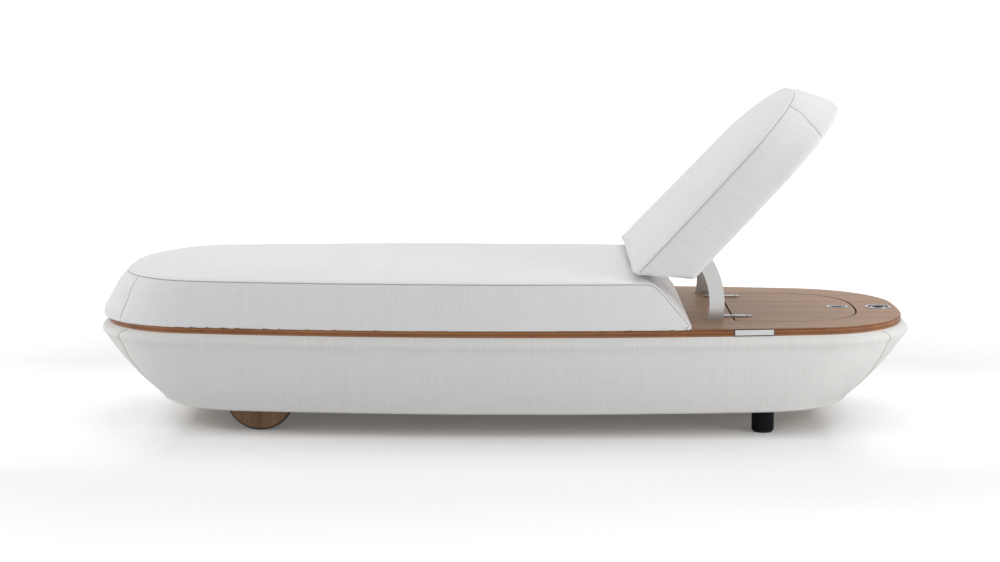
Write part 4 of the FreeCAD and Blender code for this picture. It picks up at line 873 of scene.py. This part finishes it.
def inflate(item, pinned):
    """Blow the panels up between their seams with a pressure cloth, and return the points."""
    group = item.vertex_groups.new(name="pins")
    group.add([int(number) for number in pinned], 1.0, "REPLACE")
    cloth = item.modifiers.new("cloth", "CLOTH")
    cloth.settings.vertex_group_mass = "pins"
    cloth.settings.use_pressure = True
    cloth.settings.uniform_pressure_force = 4
    cloth.settings.effector_weights.gravity = 0
    cloth.settings.quality = 3
    cloth.collision_settings.use_collision = False
    cloth.point_cache.frame_start = 1
    cloth.point_cache.frame_end = CLOTH_FRAMES
    for number in range(1, CLOTH_FRAMES + 1):
        SCENE.frame_set(number)
    apply_modifiers(item)
    SCENE.frame_set(1)
    item.vertex_groups.clear()
    return read_points(item.data)


def pillow(item, cushion, seams):
    """Panels swell between their seams; the flat underside and the seams stay."""
    rest = read_points(item.data)
    normals = read_normals(item.data)
    apart = distances(rest, [p for path in seams for p in path])
    under = (rest[:, 2] < cushion.bottom + UNDERSIDE_HEIGHT) & (normals[:, 2] < 0.2)
    from_fold = np.abs(rest[:, 2] - (cushion.bottom + FOLD_HEIGHT)) + FOLD_MARGIN
    limit = PILLOW_RISE * (1 - np.exp(-np.minimum(apart, from_fold) / PILLOW_REACH))
    limit[under] = 0
    drawn = rest - normals * np.where(under, 0.0, DRAWN_IN)[:, None]
    write_points(item.data, drawn)
    moved = inflate(item, np.nonzero((apart < PIN_REACH) | under)[0])
    step = moved - drawn
    reach = np.linalg.norm(step, axis=1)
    share = np.minimum(1.0, limit / np.maximum(reach, 1e-9))
    write_points(item.data, drawn + step * share[:, None])


def dent_seams(item, seams):
    """Sew the seams in, and let the fabric of the panels wander a little."""
    mesh = item.data
    points, normals = read_points(mesh), read_normals(mesh)
    apart = distances(points, [p for path in seams for p in path])
    pull = np.exp(-(apart / SEAM_REACH) ** 2) * SEAM_DEPTH
    for index, (x, y, z) in enumerate(points):
        slow = noise.noise(Vector((x * 4, y * 4, z * 4)))
        quick_wave = noise.noise(Vector((x * 14, y * 14, z * 14)))
        pull[index] += SLOW_WANDER * slow + QUICK_WANDER * quick_wave
    write_points(mesh, points - normals * pull[:, None])
    # Painted shade on the cloth beside the seams
    write_seam_painted_shade(mesh, apart)


def sag(item, cushion):
    """Let the lower edge of a cushion droop over the edge of the deck, outside its outline."""
    points, normals = read_points(item.data), read_normals(item.data)
    tree = point_tree([(x, y, 0) for x, y in DECK.points(RING_POINTS)])
    for index, (x, y, z) in enumerate(points):
        rise = z - cushion.bottom
        if rise < SAG_HEIGHTS[-1]:
            edge, _, apart = tree.find((x, y, 0))
            beyond = apart if math.hypot(x, y) > edge.length else -apart
            free = max(0.0, min(1.0, (beyond + SAG_RUN) / SAG_RUN))
            share = min(1.0, 1 - rise / SAG_HEIGHTS[-1]) * free
            pressed = float(np.interp(rise, SAG_HEIGHTS, SAG_PRESSED)) - rise
            drop = float(np.interp(x, SAG_PLACES, SAG_DROPS))
            points[index][2] += pressed * free - drop * share
            sideways = Vector((normals[index][0], normals[index][1]))
            if sideways.length > 0.3:
                points[index][:2] += np.array(sideways.normalized()) * SAG_OUTWARD * share
    write_points(item.data, points)


def lay_weave(item, cushion):
    """Yarn directions: round the sides and up them, or across the top and down its end face."""
    points, normals = read_points(item.data), read_normals(item.data)
    tree = point_tree([(x, y, 0) for x, y in cushion.outline.points(RING_POINTS)])
    step = cushion.outline.length() / RING_POINTS
    u, v = np.zeros(len(points)), np.zeros(len(points))
    low = cushion.seam_z - TOP_MARGIN
    for index, (x, y, z) in enumerate(points):
        on_face = abs(x - cushion.face_x(z)) < FACE_REACH
        if z < low and not on_face and normals[index][2] > -0.8:
            u[index] = tree.find((x, y, 0))[1] * step
            v[index] = z
        else:
            u[index] = y
            v[index] = x + cushion.way * max(0.0, low - z)
    write_attribute(item.data, "weave_u", u)
    write_attribute(item.data, "weave_v", v)


def make_cushion(name, cushion):
    item = remeshed(name, cushion)
    seams = [main_seam(cushion)] + [panel_seam(cushion, side) for side in (-1, 1)]
    surface = BVHTree.FromObject(item, bpy.context.evaluated_depsgraph_get())
    seams = [[surface.find_nearest(p)[0] for p in path] for path in seams]
    pillow(item, cushion, seams)
    finer = item.modifiers.new("finer", "SUBSURF")
    finer.levels = finer.render_levels = 1
    apply_modifiers(item)
    dent_seams(item, seams)
    if cushion.body == "base":
        sag(item, cushion)
    lay_weave(item, cushion)
    item.data.materials.clear()
    item.data.materials.append(CUSHION_FABRIC)
    if cushion.body == "backrest":
        item.data.transform(RAISE)
        seams = [[RAISE @ p for p in path] for path in seams]
    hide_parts(cushion.node)
    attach(item, cushion.body)
    surface = BVHTree.FromObject(item, bpy.context.evaluated_depsgraph_get())
    main = resampled(seams[0])
    welt = resampled(beside(main, surface, WELT_ASIDE * cushion.way))
    # The welt is laid in paler cloth, a painted highlight along the seam
    lay_cord(name + "_welt", welt, surface, PALE_WELT_PAINTED_HIGHLIGHT, cushion.body,
             WELT_RADIUS)
    # Dark cords along the seams: painted shade lines
    for number, path in enumerate([main] + seams[1:]):
        lay_cord("{}_thread_{}".format(name, number + 1), resampled(path), surface, SEAM_SHADE_CORD,
                 cushion.body, SHADE_CORD_RADIUS)


# Small metal parts

SCREW_SIDES = 32
SCREW_PROFILE_SHARES = ((1.0, 0.0), (1.0, 0.45), (0.93, 0.75), (0.75, 0.93), (0.45, 1.0))
SOCKET_PROFILE_SHARES = ((0.42, 1.0), (0.4, 0.2))
# Dark frame round the name plate, a painted shade: its margin, depth and corner
SHADE_FRAME_MARGIN = 1.9 * MM
SHADE_FRAME_DEPTH = 0.7 * MM
SHADE_FRAME_CORNER = 1.6 * MM
SHADE_FRAME_CORNER_STEPS = 6


def hexagon_reach(size, angle):
    """Distance from the middle of a six-sided socket to its side at an angle."""
    part = (angle + math.pi / 6) % (math.pi / 3) - math.pi / 6
    return size * math.cos(math.pi / 6) / math.cos(part)


def screw_heads(name, node, body):
    """Domed heads with a six-sided socket, in place of the plain CAD ones."""
    low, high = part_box(node)
    points = read_points(NODES[node].data)
    vertices, faces = [], []
    for side in (-1, 1):
        group = points[points[:, 1] * side > 0]
        centre = (group.min(0) + group.max(0)) / 2
        radius = (group[:, 0].max() - group[:, 0].min()) / 2
        height = high.z - low.z
        first = len(vertices)
        rings = SCREW_PROFILE_SHARES + SOCKET_PROFILE_SHARES
        for number, (share, rise) in enumerate(rings):
            for step in range(SCREW_SIDES):
                angle = 2 * math.pi * step / SCREW_SIDES
                reach = radius * share
                if number >= len(SCREW_PROFILE_SHARES):
                    reach = hexagon_reach(reach, angle)
                vertices.append((centre[0] + reach * math.cos(angle),
                                 centre[1] + reach * math.sin(angle), low.z + height * rise))
        faces += ring_faces(len(rings), SCREW_SIDES, first)
        last = first + (len(rings) - 1) * SCREW_SIDES
        faces.append(tuple(range(last, last + SCREW_SIDES)))
        faces.append(tuple(reversed(range(first, first + SCREW_SIDES))))
    heads = new_piece(name, vertices, faces, POLISHED_STEEL, smooth=False)
    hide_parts(node)
    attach(heads, body)


def painted_plate_shade_frame():
    """Thin dark frame round the blank plate on the deck's edge: painted shade for the gap round
    the plate.
    """
    low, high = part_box("name_plate")
    turn = math.asin((low.x + high.x) / 2 / SIDE_RADIUS)
    spin = Matrix.Rotation(turn, 4, "Z")
    centre = (low + high) / 2
    points = [spin.inverted() @ (Vector(p) - centre)
              for p in read_points(NODES["name_plate"].data)]
    straight_x = max(p.x for p in points) + SHADE_FRAME_MARGIN - SHADE_FRAME_CORNER
    straight_z = max(p.z for p in points) + SHADE_FRAME_MARGIN - SHADE_FRAME_CORNER
    back = max(p.y for p in points)
    front = back - SHADE_FRAME_DEPTH
    outline = []
    for sign_x, sign_z, start in ((1, 1, 0), (-1, 1, 90), (-1, -1, 180), (1, -1, 270)):
        for step in range(SHADE_FRAME_CORNER_STEPS + 1):
            angle = math.radians(start + 90 * step / SHADE_FRAME_CORNER_STEPS)
            outline.append((straight_x * sign_x + SHADE_FRAME_CORNER * math.cos(angle),
                            straight_z * sign_z + SHADE_FRAME_CORNER * math.sin(angle)))
    count = len(outline)
    vertices = [centre + spin @ Vector((x, y, z)) for y in (front, back) for x, z in outline]
    faces = [tuple(range(count)), tuple(reversed(range(count, 2 * count)))]
    for step in range(count):
        following = (step + 1) % count
        faces.append((step, count + step, count + following, following))
    shade_frame = new_piece("name_plate_shade_frame", vertices, faces, DARK_RUBBER, smooth=False)
    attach(shade_frame, "base")


# Stage, lights and camera

# The floor glows towards the camera and in reflections, by its distance from the shade under the
# object: painted light, kept low near the object as a painted shadow and raised past its ends
SHADE_HALF_LENGTH = 0.85
SHADE_HALF_WIDTH = 0.3
SHADE_REACH = 2.4
SHADE_END_RUN = 0.14
SHADE_SIDE_RUN = 0.45
SHADE_END_GLOW = 0.17
FLOOR_GLOW_SHARES = ((0.0, 0.09), (0.023, 0.16), (0.067, 0.12), (0.27, 0.13), (1.0, 0.6))
FLOOR_REACH = 150.0
WORLD_LIGHT = 0.47

# Name, place, target, width, height and power of each soft box
SOFTBOXES = (
    ("top_box", (0.4, 0.9, 3.4), (0, 0, 0.3), 4.5, 2.6, 56),
    ("foot_box", (-3.6, -0.6, 1.7), (-0.8, 0, 0.3), 2.0, 2.0, 38),
    ("head_box", (3.4, -2.0, 1.3), (0.8, 0, 0.25), 2.0, 2.0, 51),
)
CAMERA_PLACE = (0.0665, -6.0, 1.2718)
CAMERA_PITCH = 0.1491
CAMERA_YAW = 0.0132
FOCAL_PIXELS = 2183.2
PHOTO_WIDTH = 1000
SENSOR_WIDTH = 36
CLIP_END = 400


def floor_glow_and_painted_shadow(paint):
    """Strength of the floor's glow at each place: painted light, low near the object as a painted
    shadow and raised past its ends.
    """
    place = paint.add("SeparateXYZ", {"Vector": paint.place()})
    beyond_x = paint.beyond(place.outputs["X"], SHADE_HALF_LENGTH)
    beyond_y = paint.beyond(place.outputs["Y"], SHADE_HALF_WIDTH)
    squares = [paint.maths("MULTIPLY", beyond, beyond) for beyond in (beyond_x, beyond_y)]
    share = paint.maths("DIVIDE", paint.maths("SQRT", paint.maths("ADD", *squares)), SHADE_REACH)
    stops = [(part, (strength, strength, strength)) for part, strength in FLOOR_GLOW_SHARES]
    past_end = paint.maths("MINIMUM", paint.maths("DIVIDE", beyond_x, SHADE_END_RUN), 1.0)
    aside = paint.maths("MINIMUM", paint.maths("DIVIDE", beyond_y, SHADE_SIDE_RUN), 1.0)
    at_end = paint.maths("MULTIPLY", past_end, paint.maths("SUBTRACT", 1.0, aside))
    return paint.maths("ADD", paint.ramp(share, stops),
                       paint.maths("MULTIPLY", at_end, SHADE_END_GLOW))


def make_stage():
    """Pale seamless floor that shows white to the camera and keeps the object's shadow, deepened
    by a painted shadow where its glow is low.
    """
    paint = Paint("floor_white", (0.82, 0.82, 0.82), 0.9)
    grain = paint.noise(paint.place(), 0.4, 2.0)
    paint.colour(paint.shade((0.82, 0.82, 0.82, 1), paint.spread(grain, 0.99, 1.01)))
    rays = paint.add("LightPath")
    seen = paint.maths("MAXIMUM", rays.outputs["Is Camera Ray"], rays.outputs["Is Glossy Ray"])
    strength = paint.maths("MULTIPLY", seen, floor_glow_and_painted_shadow(paint))
    glow = paint.add("Emission", {"Color": (1, 1, 1, 1), "Strength": strength})
    total = paint.add("AddShader")
    paint.links.new(paint.shader.outputs["BSDF"], total.inputs[0])
    paint.links.new(glow.outputs["Emission"], total.inputs[1])
    paint.links.new(total.outputs[0], paint.nodes["Material Output"].inputs["Surface"])
    signs = ((-1, -1), (1, -1), (1, 1), (-1, 1))
    corners = [(x * FLOOR_REACH, y * FLOOR_REACH, 0) for x, y in signs]
    floor = new_piece("floor", corners, [(0, 1, 2, 3)], paint.material, smooth=False)


def make_world():
    world = bpy.data.worlds.new("studio")
    SCENE.world = world
    world.use_nodes = True
    tree = world.node_tree
    background = tree.nodes["Background"]
    rays = tree.nodes.new("ShaderNodeLightPath")
    seen = tree.nodes.new("ShaderNodeMath")
    seen.operation = "MAXIMUM"
    tree.links.new(rays.outputs["Is Camera Ray"], seen.inputs[0])
    tree.links.new(rays.outputs["Is Glossy Ray"], seen.inputs[1])
    strength = tree.nodes.new("ShaderNodeMapRange")
    strength.inputs["To Min"].default_value = WORLD_LIGHT
    strength.inputs["To Max"].default_value = 1.0
    tree.links.new(seen.outputs[0], strength.inputs["Value"])
    background.inputs["Color"].default_value = (1, 1, 1, 1)
    tree.links.new(strength.outputs["Result"], background.inputs["Strength"])


def softbox(name, place, target, width, height, power):
    light = bpy.data.lights.new(name, "AREA")
    light.shape = "RECTANGLE"
    light.size, light.size_y = width, height
    light.energy = power
    item = bpy.data.objects.new(name, light)
    SCENE.collection.objects.link(item)
    item.location = place
    item.rotation_euler = (Vector(target) - Vector(place)).to_track_quat("-Z", "Y").to_euler()


def make_lights():
    make_world()
    for box in SOFTBOXES:
        softbox(*box)


def make_camera():
    camera = bpy.data.cameras.new("photo_camera")
    camera.sensor_width = SENSOR_WIDTH
    camera.lens = FOCAL_PIXELS / PHOTO_WIDTH * SENSOR_WIDTH
    camera.clip_end = CLIP_END
    item = bpy.data.objects.new("photo_camera", camera)
    SCENE.collection.objects.link(item)
    item.location = CAMERA_PLACE
    item.rotation_euler = Euler((math.pi / 2 - CAMERA_PITCH, 0, CAMERA_YAW))
    SCENE.camera = item


make_camera()
make_stage()
make_lights()
dress_nodes()
make_hull_cover()
make_cushion("mattress", MATTRESS)
make_cushion("backrest", BACKREST)
screw_heads("hinge_deck_screw_heads", "hinge_deck_screws", "base")
screw_heads("hinge_lid_screw_heads", "hinge_lid_screws", "lid")
# Dark frame round the name plate: painted shade
painted_plate_shade_frame()

SCENE.view_settings.view_transform = "Standard"
